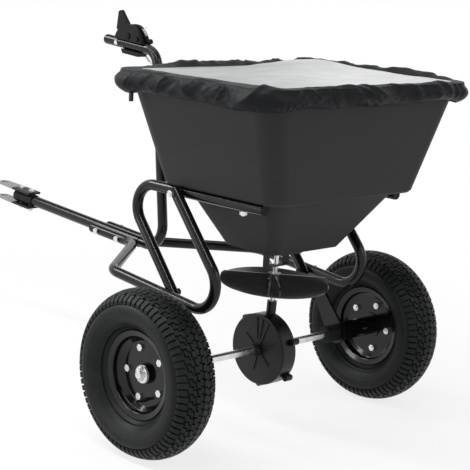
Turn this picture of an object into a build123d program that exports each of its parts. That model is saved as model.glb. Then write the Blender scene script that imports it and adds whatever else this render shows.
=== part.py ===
"""Tow-behind broadcast spreader for salt, seed and fertiliser.

A two-wheeled cart of bent steel tube carries a plastic hopper. The left wheel turns the axle, a crown
gear on the axle turns an upright shaft, and a spinner on that shaft throws what falls out of the hopper.
A hand lever on the tow bar's mast opens the gate under the hopper through a long rod.

Millimetres. X points right, Y forward to the hitch, Z up. The ground is Z = 0 and the origin lies
under the middle of the object's length.
"""
import os
from math import asin, atan2, cos, degrees, hypot, pi, radians, sin, sqrt, tan

from build123d import *

os.makedirs("parts", exist_ok=True)

# Wheels: 13 x 4.00-6 turf tyres on split steel rims
tyre_diameter = 330.0
tyre_width = 100.0
tyre_carcass = 7.0
tread_drop = 13.0
tread_half_width = 39.0
tyre_ridge = 27.0
tyre_bulge_radius = 126.3
tread_notches = 30
tread_notch_width = 9.0
tread_notch_reach = 30.0
tread_notch_depth = 8.0
track = 659.0
rim_seat_radius = 76.0
rim_seat_start = 9.0
rim_seat_end = 19.0
rim_flange_radius = 86.0
rim_flange_offset = 22.0
rim_bends = [6.0, 6.0, 2.0]
rim_sheet = 2.0
rim_disc_radius = 63.0
rim_mate_offset = -2.5
nut_turn = {-1: 1.3, 1: 38.6}
wheel_bolt_circle = 101.0
wheel_bolt_count = 5
wheel_bolt = 8.0
hub_diameter = 40.0
hub_flange = 56.0
hub_flange_thickness = 3.0
hub_outboard = 8.0
hub_wall = 12.0
bearing_diameter = 35.0
bearing_width = 11.0
valve_diameter = 9.0
valve_length = 24.0
valve_circle = 105.0

# Axle and what sits on it
axle_diameter = 16.0
axle_overhang = 12.0
bracket_plate = 6.0
bracket_rear = 62.0
bracket_fore = 92.0
bracket_foot = 24.0
bush_flange = 2.5
bush_flange_rim = 5.0
bush_wall = 10.0
bush_tail = 37.0
washer_thickness = 2.5
washer_diameter = 34.0
cotter_diameter = 3.2
pin_diameter = 5.0
drive_pin_inset = 20.0
crown_pin_spot = -5.0
collar_diameter = 25.0
collar_length = 14.0
collar_screw = 8.0

# Bent frame tubes
tube_diameter = 22.0
tube_wall = 1.5
rail_half_spacing = 189.5
rail_height = 493.0
rail_rear = -153.0
cane_corner = 258.0
cane_radius = 47.0
cane_lean = 39.7
loop_radius = 52.0
side_run_height = 277.8
side_run_slope = 5.87
diagonal_slope = 49.5
brace_fore = 66.6
lap = 9.0
elbow_fore = 250.0
elbow_radius = 45.0
clamp_bend_radius = 60.0
frame_bolt = 8.0
plug_cap = 3.0
plug_spigot = 12.0

# Tow bar, clamped between the two loops, and its hitch
tow_diameter = 25.0
tow_wall = 1.2
tow_slope = 4.2
clamp_fore = 450.0
clamp_height = 314.0
clamp_bolt_pitch = 73.0
clamp_end = 98.0
clamp_start = -45.0
tow_rear = -40.0
hitch_reach = 946.0
hitch_plate = 5.0
sleeve_wall = 2.0
sleeve_length = 70.0
hitch_width = 36.0
hitch_tip_width = 30.0
hitch_overlap = 62.0
hitch_gap = 60.0
hitch_bolt_inset = 14.0
hitch_bolt_pitch = 36.0
hitch_bore = 16.0

# Mast with the rate lever
mast_foot = 331.0
mast_top_fore = 381.0
mast_top_height = 736.5
mast_foot_radius = 50.0
mast_top_radius = 36.0
handle_end = 548.0
handle_slope = 4.8
mast_insert = 30.0
dome_fore = 467.0
dome_radius = 46.0
dome_width = 26.0
dome_drop = 20.0
dome_base = 7.0
housing_bolt = 6.0
handle_bolt_spot = (38.0, 0.0)
cheek_bolt_spot = (-32.0, 18.0)
saddle_rise = 9.5
scale_start = 100.0
scale_end = 150.0
scale_thickness = 0.8
knob_turn = 163.0
knob_radius = 6.0
lever_thickness = 8.0
lever_pivot_rise = 20.0
lever_arm_tip = (41.0, 33.0)
lever_arm_radius = 5.0
paddle_corners = [(49.0, 30.0), (32.0, 36.5), (41.0, 69.2), (47.2, 66.3)]
lever_shaft_diameter = 8.0
lever_travel = 57.0
crank_length = 28.0
crank_thickness = 4.0
rod_diameter = 6.0
rod_offset = 32.0
rod_bend = 8.0
rod_overhang = 2.0

# Hopper and the outlet under it
hopper_wall = 3.0
hopper_back = 35.0
rim_height = 727.0
rim_half_width = 281.0
rim_half_length = 204.0
rim_corner = 48.0
rim_lip = 1.5
rim_lip_depth = 16.0
tray_half_width = 205.0
tray_half_length = 162.0
tray_corner = 36.0
tray_edge = 4.5
hopper_bolt_spots = [-98.0, 84.0]
throat_half_width = 172.0
throat_half_length = 140.0
throat_corner = 34.0
floor_half_width = 98.0
floor_half_length = 72.0
floor_corner = 22.0
floor_height = 385.0
floor_back = 24.0
floor_thickness = 4.0
outlet_width = 60.0
outlet_length = 66.0
outlet_fore = -23.0
outlet_depth = 14.0
outlet_wall = 3.0
stirrup_width = 16.0
stirrup_drop = 46.0
port_width = 12.0
port_length = 26.0
port_offset = 16.0
port_fore = -32.0
gate_thickness = 2.5
gate_tab_fore = 60.0
gate_pin_height = 372.0
gate_tab_thickness = 3.0
gate_tab_offset = 16.0
gate_tab_reach = 14.0
gate_slot_play = 4.8

# Gear case, gears and spinner on the leaning upright shaft
shaft_lean = 3.5
shaft_diameter = 10.0
shaft_bush_wall = 3.0
shaft_foot = 40.0
shaft_top = 246.0
case_radius = 74.0
case_depths = {-1: 28.5, 1: 8.5}
case_wall = 2.5
case_boss_diameter = 20.0
case_boss_top = 100.0
case_hub_diameter = 27.0
case_hub_length = 3.0
case_lug_radius = 7.0
case_lug_count = 5
case_lug_turn = 155.5
case_lug_span = 300.0
case_lug_depth = 8.0
case_fan_turn = 82.0
case_fan_pitch = 15.0
case_rib_turn = 156.0
case_rib_width = 5.0
case_rib_tip = 2.0
case_rib_height = 1.8
case_screw = 5.0
gear_module = 2.5
crown_teeth = 40
pinion_teeth = 8
crown_face = 6.0
crown_plate = 5.0
tooth_addendum = 1.8
tooth_dedendum = 2.2
tooth_share = 0.31
spinner_radius = 112.0
spinner_height = 131.0
spinner_sheet = 2.5
spinner_dish = 8.0
spinner_vane_height = 26.0
spinner_vane_count = 4
spinner_vane_turn = -40.0
spinner_hub_radius = 15.0
spinner_flat = 62.0
vane_thickness = 3.0
agitator_reach = 42.0
agitator_wire = 4.0
agitator_rise = 232.0

# Weather cover with a gathered skirt
cover_sheet = 2.0
skirt_depth = 44.0
skirt_cloth = 2.5
skirt_gather = 4.0
hem_depth = 9.0
cover_roll = 19.0
roll_turns = [-90, -60, -30, 0, 30, 60, 90]
gathers_along = 13
gathers_across = 9
gathers_corner = 2
cover_crown = 8.0
cover_slope = 60.0
lock_length = 17.0
lock_radius = 4.5
lock_turn = 178.0
cover_band = 34.0

# Clearances
running = 0.05
seat = 0.2
clear = 0.5
tube_gap = 0.5

axle_height = tyre_diameter / 2
hem_reach = rim_lip + 2 * clear + skirt_cloth
axle_y = (hopper_back + rim_half_length + hem_reach + cover_roll - hitch_reach) / 2


def keep(part, name):
    """Label a finished piece and write it as its own file."""
    part.label = name
    export_step(part, f"parts/{name}.step")


def side_plane(x):
    """Upright fore-and-aft plane: local x is forward of the axle, local y is the height."""
    return Plane(origin=(x, axle_y, 0), x_dir=(0, 1, 0), z_dir=(1, 0, 0))


def plan_plane(height, fore=0.0):
    """Level plane: local x is to the right, local y is forward."""
    return Plane(origin=(0, axle_y + fore, height))


def hexagon(width):
    """Circumscribed radius of a hexagon with this width across its flats."""
    return width / sqrt(3)


def bolt_set(planes, diameter, grip):
    """Hex bolts with nuts: each head lies behind its plane, and its nut sits past the grip."""
    across = 1.6 * diameter
    head = 0.6 * diameter
    nut = 0.8 * diameter
    with BuildPart() as bolts:
        for plane in planes:
            with BuildSketch(plane.offset(-head)):
                RegularPolygon(hexagon(across), 6)
            extrude(amount=head)
            with BuildSketch(plane):
                Circle(diameter / 2)
            extrude(amount=grip + 1.3 * nut)
            with BuildSketch(plane.offset(grip)):
                RegularPolygon(hexagon(across), 6)
                Circle(diameter / 2 + running, mode=Mode.SUBTRACT)
            extrude(amount=nut)
    return bolts.part


def bent_tube(points, radii, diameter, wall, cross_holes=(), hole=0.0):
    """Round tube along filleted runs, drilled across in X at the given points."""
    with BuildPart() as tube:
        with BuildLine() as path:
            FilletPolyline(*points, radius=radii)
        with BuildSketch(path.line ^ 0):
            Circle(diameter / 2)
            Circle(diameter / 2 - wall, mode=Mode.SUBTRACT)
        sweep()
        for point in cross_holes:
            with Locations(point):
                Cylinder(hole / 2, 2 * diameter, rotation=(0, 90, 0), mode=Mode.SUBTRACT)
    return tube.part


# Tow bar line: distances run forward along it from the rear clamp bolt
tow_cos = cos(radians(tow_slope))
tow_sin = sin(radians(tow_slope))


def tow_point(x, along, rise=0.0):
    """Point beside the tow bar's centre line."""
    fore = clamp_fore + along * tow_cos - rise * tow_sin
    return (x, axle_y + fore, clamp_height + along * tow_sin + rise * tow_cos)


def tow_plane(along, rise=0.0):
    """Plane square to the tow bar's top, with local x forward along the bar."""
    return Plane(origin=tow_point(0, along, rise), x_dir=(0, tow_cos, tow_sin), z_dir=(0, -tow_sin, tow_cos))


# Wheels: tyre, two rim halves, hub, bearings, bolts and valve, for each side
wheel_axis = Axis((0, axle_y, axle_height), (1, 0, 0))
side_names = {-1: "left", 1: "right"}
loop_half_spacing = rail_half_spacing + tube_diameter + tube_gap
hub_inner_end = loop_half_spacing + bracket_plate / 2 + bush_flange + washer_thickness + 2 * seat
hub_inboard = track / 2 - hub_inner_end
drive_pin_spot = -(hub_inner_end + drive_pin_inset)


def wheel_section(side):
    """Half section of a wheel between two tread notches: local x is the radius, local y points outboard."""
    turn = radians(90 / tread_notches)
    return Plane(
        origin=(side * track / 2, axle_y, axle_height),
        x_dir=(0, cos(turn), sin(turn)),
        z_dir=(0, side * sin(turn), -side * cos(turn)),
    )


def wheel_face(side, outboard):
    """Plane across a wheel, facing outboard."""
    middle = (side * (track / 2 + outboard), axle_y, axle_height)
    return Plane(origin=middle, x_dir=(0, 1, 0), z_dir=(side, 0, 0))


def tyre(side):
    """Tyre with its beads against the rim and a notched tread."""
    tread = tyre_diameter / 2
    shoulder = tread - tread_drop
    ridge = rim_flange_radius + tyre_carcass
    bead = rim_seat_end - rim_sheet / 2 - clear
    bead_seat = rim_seat_radius + seat
    with BuildPart() as piece:
        with BuildSketch(wheel_section(side)):
            with BuildLine():
                ThreePointArc((shoulder, -tread_half_width), (tread, 0), (shoulder, tread_half_width))
                liner = shoulder - tyre_carcass
                liner_half = tread_half_width - tyre_carcass
                ThreePointArc((liner, -liner_half), (tread - 1.5 * tyre_carcass, 0), (liner, liner_half))
                for half in (-1, 1):
                    ThreePointArc(
                        (shoulder, half * tread_half_width),
                        (tyre_bulge_radius, half * tyre_width / 2),
                        (ridge, half * tyre_ridge),
                    )
                    Polyline(
                        (ridge, half * tyre_ridge),
                        (rim_flange_radius - rim_sheet, half * bead),
                        (bead_seat, half * bead),
                        (bead_seat, half * (bead - 2 * tyre_carcass)),
                        (ridge, half * (bead - tyre_carcass)),
                    )
                    ThreePointArc(
                        (ridge, half * (bead - tyre_carcass)),
                        (tyre_bulge_radius, half * (tyre_width / 2 - tyre_carcass)),
                        (liner, half * liner_half),
                    )
            make_face()
        revolve(axis=wheel_axis)
        for half in (-1, 1):
            with BuildSketch(wheel_face(side, half * tyre_width / 2)):
                with PolarLocations(tread, tread_notches, 90 * (1 + half) / tread_notches):
                    Rectangle(2 * tread_notch_depth, tread_notch_width)
            extrude(amount=-half * tread_notch_reach, mode=Mode.SUBTRACT)
    return piece.part


def rim_half(side, half):
    """Pressed half of the split rim: half is 1 for the outboard pressing, -1 for the inboard one."""
    disc = rim_mate_offset + half * rim_sheet / 2
    well_radius = rim_seat_radius - rim_sheet / 2
    with BuildPart() as piece:
        with BuildSketch(wheel_section(side)):
            with BuildLine():
                FilletPolyline(
                    (hub_diameter / 2 + seat, disc),
                    (rim_disc_radius, disc),
                    (well_radius, half * rim_seat_start),
                    (well_radius, half * rim_seat_end),
                    (rim_flange_radius, half * rim_flange_offset),
                    radius=rim_bends,
                )
            trace(line_width=rim_sheet)
        revolve(axis=wheel_axis)
        with BuildSketch(wheel_face(side, disc - rim_sheet)):
            with PolarLocations(wheel_bolt_circle / 2, wheel_bolt_count, nut_turn[side]):
                Circle(wheel_bolt / 2 + clear / 2)
        extrude(amount=2 * rim_sheet, mode=Mode.SUBTRACT)
    return piece.part


for side, name in side_names.items():
    keep(tyre(side), f"{name}_tyre")
    keep(rim_half(side, 1), f"{name}_outer_rim")
    keep(rim_half(side, -1), f"{name}_inner_rim")

    bolt_spots = PolarLocations(wheel_bolt_circle / 2, wheel_bolt_count, nut_turn[side]).local_locations
    bolt_face = wheel_face(side, rim_mate_offset + rim_sheet)
    bolt_planes = []
    for spot in bolt_spots:
        start = bolt_face.from_local_coords(Vector(spot.position.X, spot.position.Y, 0))
        bolt_planes.append(Plane(origin=start, x_dir=(0, 1, 0), z_dir=(-side, 0, 0)))
    keep(bolt_set(bolt_planes, wheel_bolt, 2 * rim_sheet), f"{name}_wheel_bolts")

    with BuildPart() as hub:
        with BuildSketch(wheel_face(side, -hub_inboard)):
            Circle(hub_diameter / 2)
            Circle(hub_diameter / 2 - hub_wall / 2, mode=Mode.SUBTRACT)
        extrude(amount=hub_inboard + hub_outboard)
        with BuildSketch(wheel_face(side, rim_mate_offset - rim_sheet - hub_flange_thickness)):
            Circle(hub_flange / 2)
            Circle(hub_diameter / 2 - hub_wall / 4, mode=Mode.SUBTRACT)
        extrude(amount=hub_flange_thickness)
        for mouth, inward in ((hub_outboard, -1), (-hub_inboard, 1)):
            with BuildSketch(wheel_face(side, mouth)):
                Circle(bearing_diameter / 2 + running)
            extrude(amount=inward * bearing_width, mode=Mode.SUBTRACT)
        if side < 0:
            with Locations((drive_pin_spot, axle_y, axle_height)):
                Cylinder(pin_diameter / 2 + running, 2 * hub_diameter, mode=Mode.SUBTRACT)
    keep(hub.part, f"{name}_hub")

    with BuildPart() as bearings:
        for start in (-hub_inboard, hub_outboard - bearing_width):
            with BuildSketch(wheel_face(side, start)):
                Circle(bearing_diameter / 2)
                Circle(axle_diameter / 2 + running, mode=Mode.SUBTRACT)
            extrude(amount=bearing_width)
            for face in (start, start + bearing_width):
                inward = 1 if face == start else -1
                with BuildSketch(wheel_face(side, face)):
                    Circle(bearing_diameter / 2 - 3)
                    Circle(axle_diameter / 2 + 3, mode=Mode.SUBTRACT)
                extrude(amount=inward * 0.8, mode=Mode.SUBTRACT)
    keep(bearings.part, f"{name}_hub_bearings")

    with BuildPart() as valve:
        with BuildSketch(wheel_face(side, rim_mate_offset + rim_sheet)):
            with PolarLocations(valve_circle / 2, 1, -90 * side):
                Circle(valve_diameter / 2)
        extrude(amount=valve_length / 2, taper=6)
        with BuildSketch(wheel_face(side, rim_mate_offset + rim_sheet + valve_length / 2)):
            with PolarLocations(valve_circle / 2, 1, -90 * side):
                Circle(valve_diameter / 3)
        extrude(amount=valve_length / 2)
    keep(valve.part, f"{name}_valve")

# Axle with its cross holes, washers, cotters, collars and pins
axle_half = track / 2 + hub_outboard + axle_overhang
cotter_spot = track / 2 + hub_outboard + washer_thickness + 2 * seat + cotter_diameter
with BuildPart() as axle:
    with BuildSketch(side_plane(-axle_half)):
        with Locations((0, axle_height)):
            Circle(axle_diameter / 2)
    extrude(amount=2 * axle_half)
    chamfer(axle.edges().filter_by(GeomType.CIRCLE), 1)
    for spot in (-cotter_spot, cotter_spot):
        with Locations((spot, axle_y, axle_height)):
            Cylinder(cotter_diameter / 2 + running, 2 * axle_diameter, mode=Mode.SUBTRACT)
    for spot in (drive_pin_spot, crown_pin_spot):
        with Locations((spot, axle_y, axle_height)):
            Cylinder(pin_diameter / 2 + running, 2 * axle_diameter, mode=Mode.SUBTRACT)
keep(axle.part, "axle")

with BuildPart() as washers:
    for side in side_names:
        for start in (hub_outboard + seat, -hub_inboard - seat - washer_thickness):
            with BuildSketch(wheel_face(side, start)):
                Circle(washer_diameter / 2)
                Circle(axle_diameter / 2 + running, mode=Mode.SUBTRACT)
            extrude(amount=washer_thickness)
keep(washers.part, "axle_washers")

with BuildPart() as cotters:
    for spot in (-cotter_spot, cotter_spot):
        with Locations((spot, axle_y, axle_height)):
            Cylinder(cotter_diameter / 2, axle_diameter + 10)
        with Locations((spot, axle_y, axle_height + axle_diameter / 2 + 5)):
            Sphere(cotter_diameter)
keep(cotters.part, "axle_cotters")

# Upright drive line, leaning back with the gear case on the axle
lean_cos = cos(radians(shaft_lean))
lean_sin = sin(radians(shaft_lean))


def drive_plane(rise):
    """Plane square to the upright shaft, at a distance along it above the axle's centre."""
    return Plane(
        origin=(0, axle_y - rise * lean_sin, axle_height + rise * lean_cos),
        x_dir=(1, 0, 0),
        z_dir=(0, -lean_sin, lean_cos),
    )


def case_plane(x):
    """Plane across the axle: local x is forward, local y runs up the leaning shaft."""
    return Plane(origin=(x, axle_y, axle_height), x_dir=(0, lean_cos, lean_sin), z_dir=(1, 0, 0))


lug_circle = case_radius + case_lug_radius - 2
crown_radius = crown_teeth * gear_module / 2
pinion_radius = pinion_teeth * gear_module / 2
pinion_foot = crown_radius - crown_face / 2 - 1
pinion_length = crown_face + 8
pinion_pocket = pinion_radius + tooth_addendum + 2 * clear


def face_rib(length):
    """Tapered rib on the case's face, from the hub outwards along its local x."""
    root = case_hub_diameter / 2 - 2
    return Polygon(
        (root, -case_rib_width / 2),
        (root + length, -case_rib_tip / 2),
        (root + length, case_rib_tip / 2),
        (root, case_rib_width / 2),
        align=None,
    )


def gear_case(side):
    """Half of the case: it splits through the shaft, and the deeper left half holds the crown gear."""
    depth = case_depths[side]
    outer = side * depth
    with BuildPart() as piece:
        with BuildSketch(case_plane(0)):
            Circle(case_radius)
        extrude(amount=outer)
        outer_rim = piece.edges().filter_by(GeomType.CIRCLE).sort_by(Axis.X)[0 if side < 0 else -1]
        fillet(outer_rim, 3)
        with BuildSketch(case_plane(0)):
            with PolarLocations(lug_circle, case_lug_count, case_lug_turn, case_lug_span):
                Circle(case_lug_radius)
        extrude(amount=side * case_lug_depth)
        with BuildSketch(case_plane(outer)):
            Circle(case_hub_diameter / 2)
        extrude(amount=side * case_hub_length)
        long_rib = case_radius - case_hub_diameter / 2 - 2 * case_wall
        with BuildSketch(case_plane(outer - side)):
            with PolarLocations(0, 3, case_fan_turn, 3 * case_fan_pitch):
                face_rib(long_rib)
            with PolarLocations(0, 5, case_rib_turn, 300):
                face_rib(0.6 * long_rib)
        extrude(amount=side * (1 + case_rib_height))
        with BuildSketch(drive_plane(pinion_foot - 2 * case_wall)):
            Circle(pinion_pocket + case_wall)
        extrude(amount=pinion_length + 4 * case_wall)
        with BuildSketch(drive_plane(pinion_foot)):
            Circle(case_boss_diameter / 2)
        extrude(amount=case_boss_top - pinion_foot)
        split(bisect_by=Plane.YZ, keep=Keep.TOP if side > 0 else Keep.BOTTOM)
        with BuildSketch(case_plane(0)):
            Circle(case_radius - case_wall - 2)
        extrude(amount=side * (depth - case_wall), mode=Mode.SUBTRACT)
        with BuildSketch(drive_plane(pinion_foot - case_wall)):
            Circle(pinion_pocket)
        extrude(amount=pinion_length + 2 * case_wall, mode=Mode.SUBTRACT)
        with BuildSketch(case_plane(0)):
            Circle(axle_diameter / 2 + running)
        extrude(amount=side * (depth + case_hub_length), mode=Mode.SUBTRACT)
        with BuildSketch(drive_plane(0)):
            Circle(shaft_diameter / 2 + running)
        extrude(amount=case_boss_top + 1, mode=Mode.SUBTRACT)
        with BuildSketch(case_plane(0)):
            with PolarLocations(lug_circle, case_lug_count, case_lug_turn, case_lug_span):
                Circle(case_screw / 2 + clear / 2)
        extrude(amount=side * depth, mode=Mode.SUBTRACT)
    return piece.part


keep(gear_case(-1), "left_gear_case")
keep(gear_case(1), "right_gear_case")

screw_planes = []
for spot in PolarLocations(lug_circle, case_lug_count, case_lug_turn, case_lug_span).local_locations:
    start = case_plane(-case_lug_depth).from_local_coords(Vector(spot.position.X, spot.position.Y, 0))
    screw_planes.append(Plane(origin=start, x_dir=(0, 1, 0), z_dir=(1, 0, 0)))
keep(bolt_set(screw_planes, case_screw, 2 * case_lug_depth), "gear_case_screws")

# Crown gear: a disc on the axle with radial teeth standing out of its right face
tooth_pitch = pi * gear_module
tooth_root = -pinion_radius - tooth_dedendum
crown_back = tooth_root - crown_plate
crown_hub = -1.0
with BuildPart() as crown:
    with BuildSketch(case_plane(crown_back)):
        Circle(crown_radius + crown_face / 2 + 1)
    extrude(amount=tooth_root - crown_back)
    with BuildSketch(case_plane(crown_back)):
        Circle(axle_diameter / 2 + 6)
    extrude(amount=crown_hub - crown_back)
    with BuildSketch(case_plane(tooth_root - 0.5)):
        with PolarLocations(crown_radius, crown_teeth, 90 + 180 / crown_teeth):
            Rectangle(crown_face, 1.25 * tooth_share * tooth_pitch)
    extrude(amount=tooth_addendum + tooth_dedendum + 0.5, taper=12)
    with BuildSketch(case_plane(crown_back)):
        Circle(axle_diameter / 2 + running)
    extrude(amount=-2 * crown_back, mode=Mode.SUBTRACT)
    with Locations((crown_pin_spot, axle_y, axle_height)):
        Cylinder(pin_diameter / 2 + running, 3 * axle_diameter, mode=Mode.SUBTRACT)
keep(crown.part, "crown_gear")

with BuildPart() as collars:
    for side in side_names:
        start = case_depths[side] + case_hub_length + clear
        with BuildSketch(side_plane(side * start)):
            with Locations((0, axle_height)):
                Circle(collar_diameter / 2)
                Circle(axle_diameter / 2 + running, mode=Mode.SUBTRACT)
        extrude(amount=side * collar_length)
        screw_foot = (side * (start + collar_length / 2), axle_y, axle_height)
        with BuildSketch(Plane(origin=screw_foot, z_dir=(0, -1, 0))):
            RegularPolygon(hexagon(collar_screw), 6)
        extrude(amount=collar_diameter / 2 + collar_screw / 2)
        with BuildSketch(side_plane(side * start)):
            with Locations((0, axle_height)):
                Circle(axle_diameter / 2 + running)
        extrude(amount=side * collar_length, mode=Mode.SUBTRACT)
keep(collars.part, "axle_collars")

with BuildPart() as axle_pins:
    with Locations((drive_pin_spot, axle_y, axle_height)):
        Cylinder(pin_diameter / 2, hub_diameter + 6)
    with Locations((crown_pin_spot, axle_y, axle_height)):
        Cylinder(pin_diameter / 2, axle_diameter + 12)
keep(axle_pins.part, "axle_pins")

# Upright shaft with its pinion, spinner, pins and agitator
pinion_pin_rise = pinion_foot + crown_face + 5
spinner_pin_rise = spinner_height + spinner_vane_height - 8
with BuildPart() as shaft:
    with BuildSketch(drive_plane(shaft_foot)):
        Circle(shaft_diameter / 2)
    extrude(amount=shaft_top - shaft_foot)
    chamfer(shaft.edges().filter_by(GeomType.CIRCLE), 1)
    for rise in (pinion_pin_rise, spinner_pin_rise):
        with BuildSketch(Plane(drive_plane(rise).origin, x_dir=(0, 1, 0), z_dir=(1, 0, 0))):
            Circle(pin_diameter / 4 + running)
        extrude(amount=shaft_diameter, both=True, mode=Mode.SUBTRACT)
    with BuildSketch(Plane(drive_plane(agitator_rise).origin, x_dir=(0, 1, 0), z_dir=(1, 0, 0))):
        Circle(agitator_wire / 2 + running)
    extrude(amount=shaft_diameter, both=True, mode=Mode.SUBTRACT)
keep(shaft.part, "spinner_shaft")

with BuildPart() as pinion:
    with BuildSketch(drive_plane(pinion_foot)):
        Circle(pinion_radius - tooth_dedendum)
        half_root = 0.75 * tooth_share * tooth_pitch
        half_tip = 0.32 * tooth_share * tooth_pitch
        with PolarLocations(0, pinion_teeth, 180):
            Polygon(
                (pinion_radius - tooth_dedendum - 2, -half_root),
                (pinion_radius + tooth_addendum, -half_tip),
                (pinion_radius + tooth_addendum, half_tip),
                (pinion_radius - tooth_dedendum - 2, half_root),
                align=None,
            )
        Circle(shaft_diameter / 2 + running, mode=Mode.SUBTRACT)
    extrude(amount=pinion_length)
    with BuildSketch(Plane(drive_plane(pinion_pin_rise).origin, x_dir=(0, 1, 0), z_dir=(1, 0, 0))):
        Circle(pin_diameter / 4 + running)
    extrude(amount=2 * pinion_radius, both=True, mode=Mode.SUBTRACT)
keep(pinion.part, "pinion")

spinner_section = Plane(drive_plane(spinner_height).origin, x_dir=(1, 0, 0), z_dir=(0, -lean_cos, -lean_sin))
spinner_axis = Axis(drive_plane(0).origin, drive_plane(0).z_dir)
hub_foot = -8.0
hub_top = spinner_vane_height + 2
with BuildPart() as spinner:
    with BuildSketch(spinner_section):
        with BuildLine():
            FilletPolyline(
                (spinner_hub_radius - 2, 0),
                (spinner_flat, 0),
                (spinner_radius, spinner_dish),
                radius=spinner_radius / 2,
            )
        trace(line_width=spinner_sheet)
        with BuildLine():
            Polyline(
                (0, hub_foot),
                (spinner_hub_radius, hub_foot),
                (spinner_hub_radius - 2, hub_top),
                (0, hub_top),
                close=True,
            )
        make_face()
    revolve(axis=spinner_axis)
    for index in range(spinner_vane_count):
        turn = spinner_vane_turn + index * 360 / spinner_vane_count
        radial = Vector(cos(radians(turn)), 0, 0) + drive_plane(0).y_dir * sin(radians(turn))
        across = radial.cross(drive_plane(0).z_dir)
        vane_plane = Plane(drive_plane(spinner_height).origin, x_dir=radial, z_dir=across)
        with BuildSketch(vane_plane):
            with BuildLine():
                Polyline(
                    (spinner_hub_radius - 4, 0),
                    (spinner_flat, 0),
                    (spinner_radius - 1, spinner_dish - 0.5),
                    (spinner_radius - 2, spinner_vane_height - 5),
                    (spinner_radius - 8, spinner_vane_height),
                    (spinner_hub_radius - 4, spinner_vane_height),
                    close=True,
                )
            make_face()
        extrude(amount=vane_thickness / 2, both=True)
    with BuildSketch(drive_plane(0)):
        Circle(shaft_diameter / 2 + running)
    extrude(amount=2 * spinner_height, mode=Mode.SUBTRACT)
    with BuildSketch(Plane(drive_plane(spinner_pin_rise).origin, x_dir=(0, 1, 0), z_dir=(1, 0, 0))):
        Circle(pin_diameter / 4 + running)
    extrude(amount=2 * spinner_hub_radius, both=True, mode=Mode.SUBTRACT)
keep(spinner.part, "spinner")

with BuildPart() as spinner_pins:
    pinion_pin_length = 2 * (pinion_radius - tooth_dedendum)
    spinner_pin_length = 2 * spinner_hub_radius + 4
    for rise, length in ((pinion_pin_rise, pinion_pin_length), (spinner_pin_rise, spinner_pin_length)):
        with BuildSketch(Plane(drive_plane(rise).origin, x_dir=(0, 1, 0), z_dir=(1, 0, 0))):
            Circle(pin_diameter / 4)
        extrude(amount=length / 2, both=True)
keep(spinner_pins.part, "spinner_pins")

wire_frame = drive_plane(agitator_rise)
wire_points = [
    wire_frame.from_local_coords(Vector(x, 0, z))
    for x, z in (
        (-agitator_reach, 10),
        (-agitator_reach + 12, 0),
        (agitator_reach - 12, 0),
        (agitator_reach, 10),
    )
]
with BuildPart() as agitator:
    with BuildLine() as wire:
        FilletPolyline(*wire_points, radius=6)
    with BuildSketch(wire.line ^ 0):
        Circle(agitator_wire / 2)
    sweep()
keep(agitator.part, "agitator")

# Frame tubes: on each side a cane-shaped rail under the hopper and a loop that runs on to the tow bar
side_rise = tan(radians(side_run_slope))
brace_rise = tan(radians(diagonal_slope))
cane_run = tan(radians(cane_lean))
loop_corner = (rail_height - brace_fore * brace_rise - side_run_height) / (side_rise - brace_rise)
cane_cross = (rail_height - side_run_height - cane_corner / cane_run) / (side_rise - 1 / cane_run)


def side_run_at(fore):
    """Height of the loop's side run above the ground."""
    return side_run_height + fore * side_rise


cane_end = cane_cross - lap * sin(radians(cane_lean))
brace_end = brace_fore + lap * cos(radians(diagonal_slope))
clamp_spread = (tow_diameter + tube_diameter) / 2 + tube_gap / 2
clamp_spots = (0.0, clamp_bolt_pitch)
for side, name in side_names.items():
    x = side * rail_half_spacing
    rail_points = [
        (x, axle_y + rail_rear, rail_height),
        (x, axle_y + cane_corner, rail_height),
        (x, axle_y + cane_end, rail_height - (cane_corner - cane_end) / cane_run),
    ]
    crossings = [
        (x, axle_y + brace_fore, rail_height),
        (x, axle_y + cane_cross, side_run_at(cane_cross)),
    ]
    with BuildPart() as rail:
        add(bent_tube(rail_points, [cane_radius], tube_diameter, tube_wall, crossings, frame_bolt + clear))
        for spot in hopper_bolt_spots:
            with Locations((x, axle_y + spot, rail_height)):
                Cylinder((frame_bolt + clear) / 2, 2 * tube_diameter, mode=Mode.SUBTRACT)
    keep(rail.part, f"{name}_rail_tube")

    x = side * loop_half_spacing
    loop_points = [
        tow_point(side * clamp_spread, clamp_end),
        tow_point(side * clamp_spread, clamp_start),
        (x, axle_y + elbow_fore, side_run_at(elbow_fore)),
        (x, axle_y + loop_corner, side_run_at(loop_corner)),
        (x, axle_y + brace_end, rail_height + lap * sin(radians(diagonal_slope))),
    ]
    crossings = [
        (x, axle_y + brace_fore, rail_height),
        (x, axle_y + cane_cross, side_run_at(cane_cross)),
    ]
    crossings += [tow_point(side * clamp_spread, spot) for spot in clamp_spots]
    bends = [clamp_bend_radius, elbow_radius, loop_radius]
    loop = bent_tube(loop_points, bends, tube_diameter, tube_wall, crossings, frame_bolt + clear)
    keep(loop, f"{name}_lower_tube")

frame_bolt_planes = []
for side in side_names:
    start = side * (rail_half_spacing - tube_diameter / 2)
    for fore, height in ((brace_fore, rail_height), (cane_cross, side_run_at(cane_cross))):
        frame_bolt_planes.append(Plane(origin=(start, axle_y + fore, height), z_dir=(side, 0, 0)))
keep(bolt_set(frame_bolt_planes, frame_bolt, 2 * tube_diameter + tube_gap), "frame_bolts")

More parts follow.
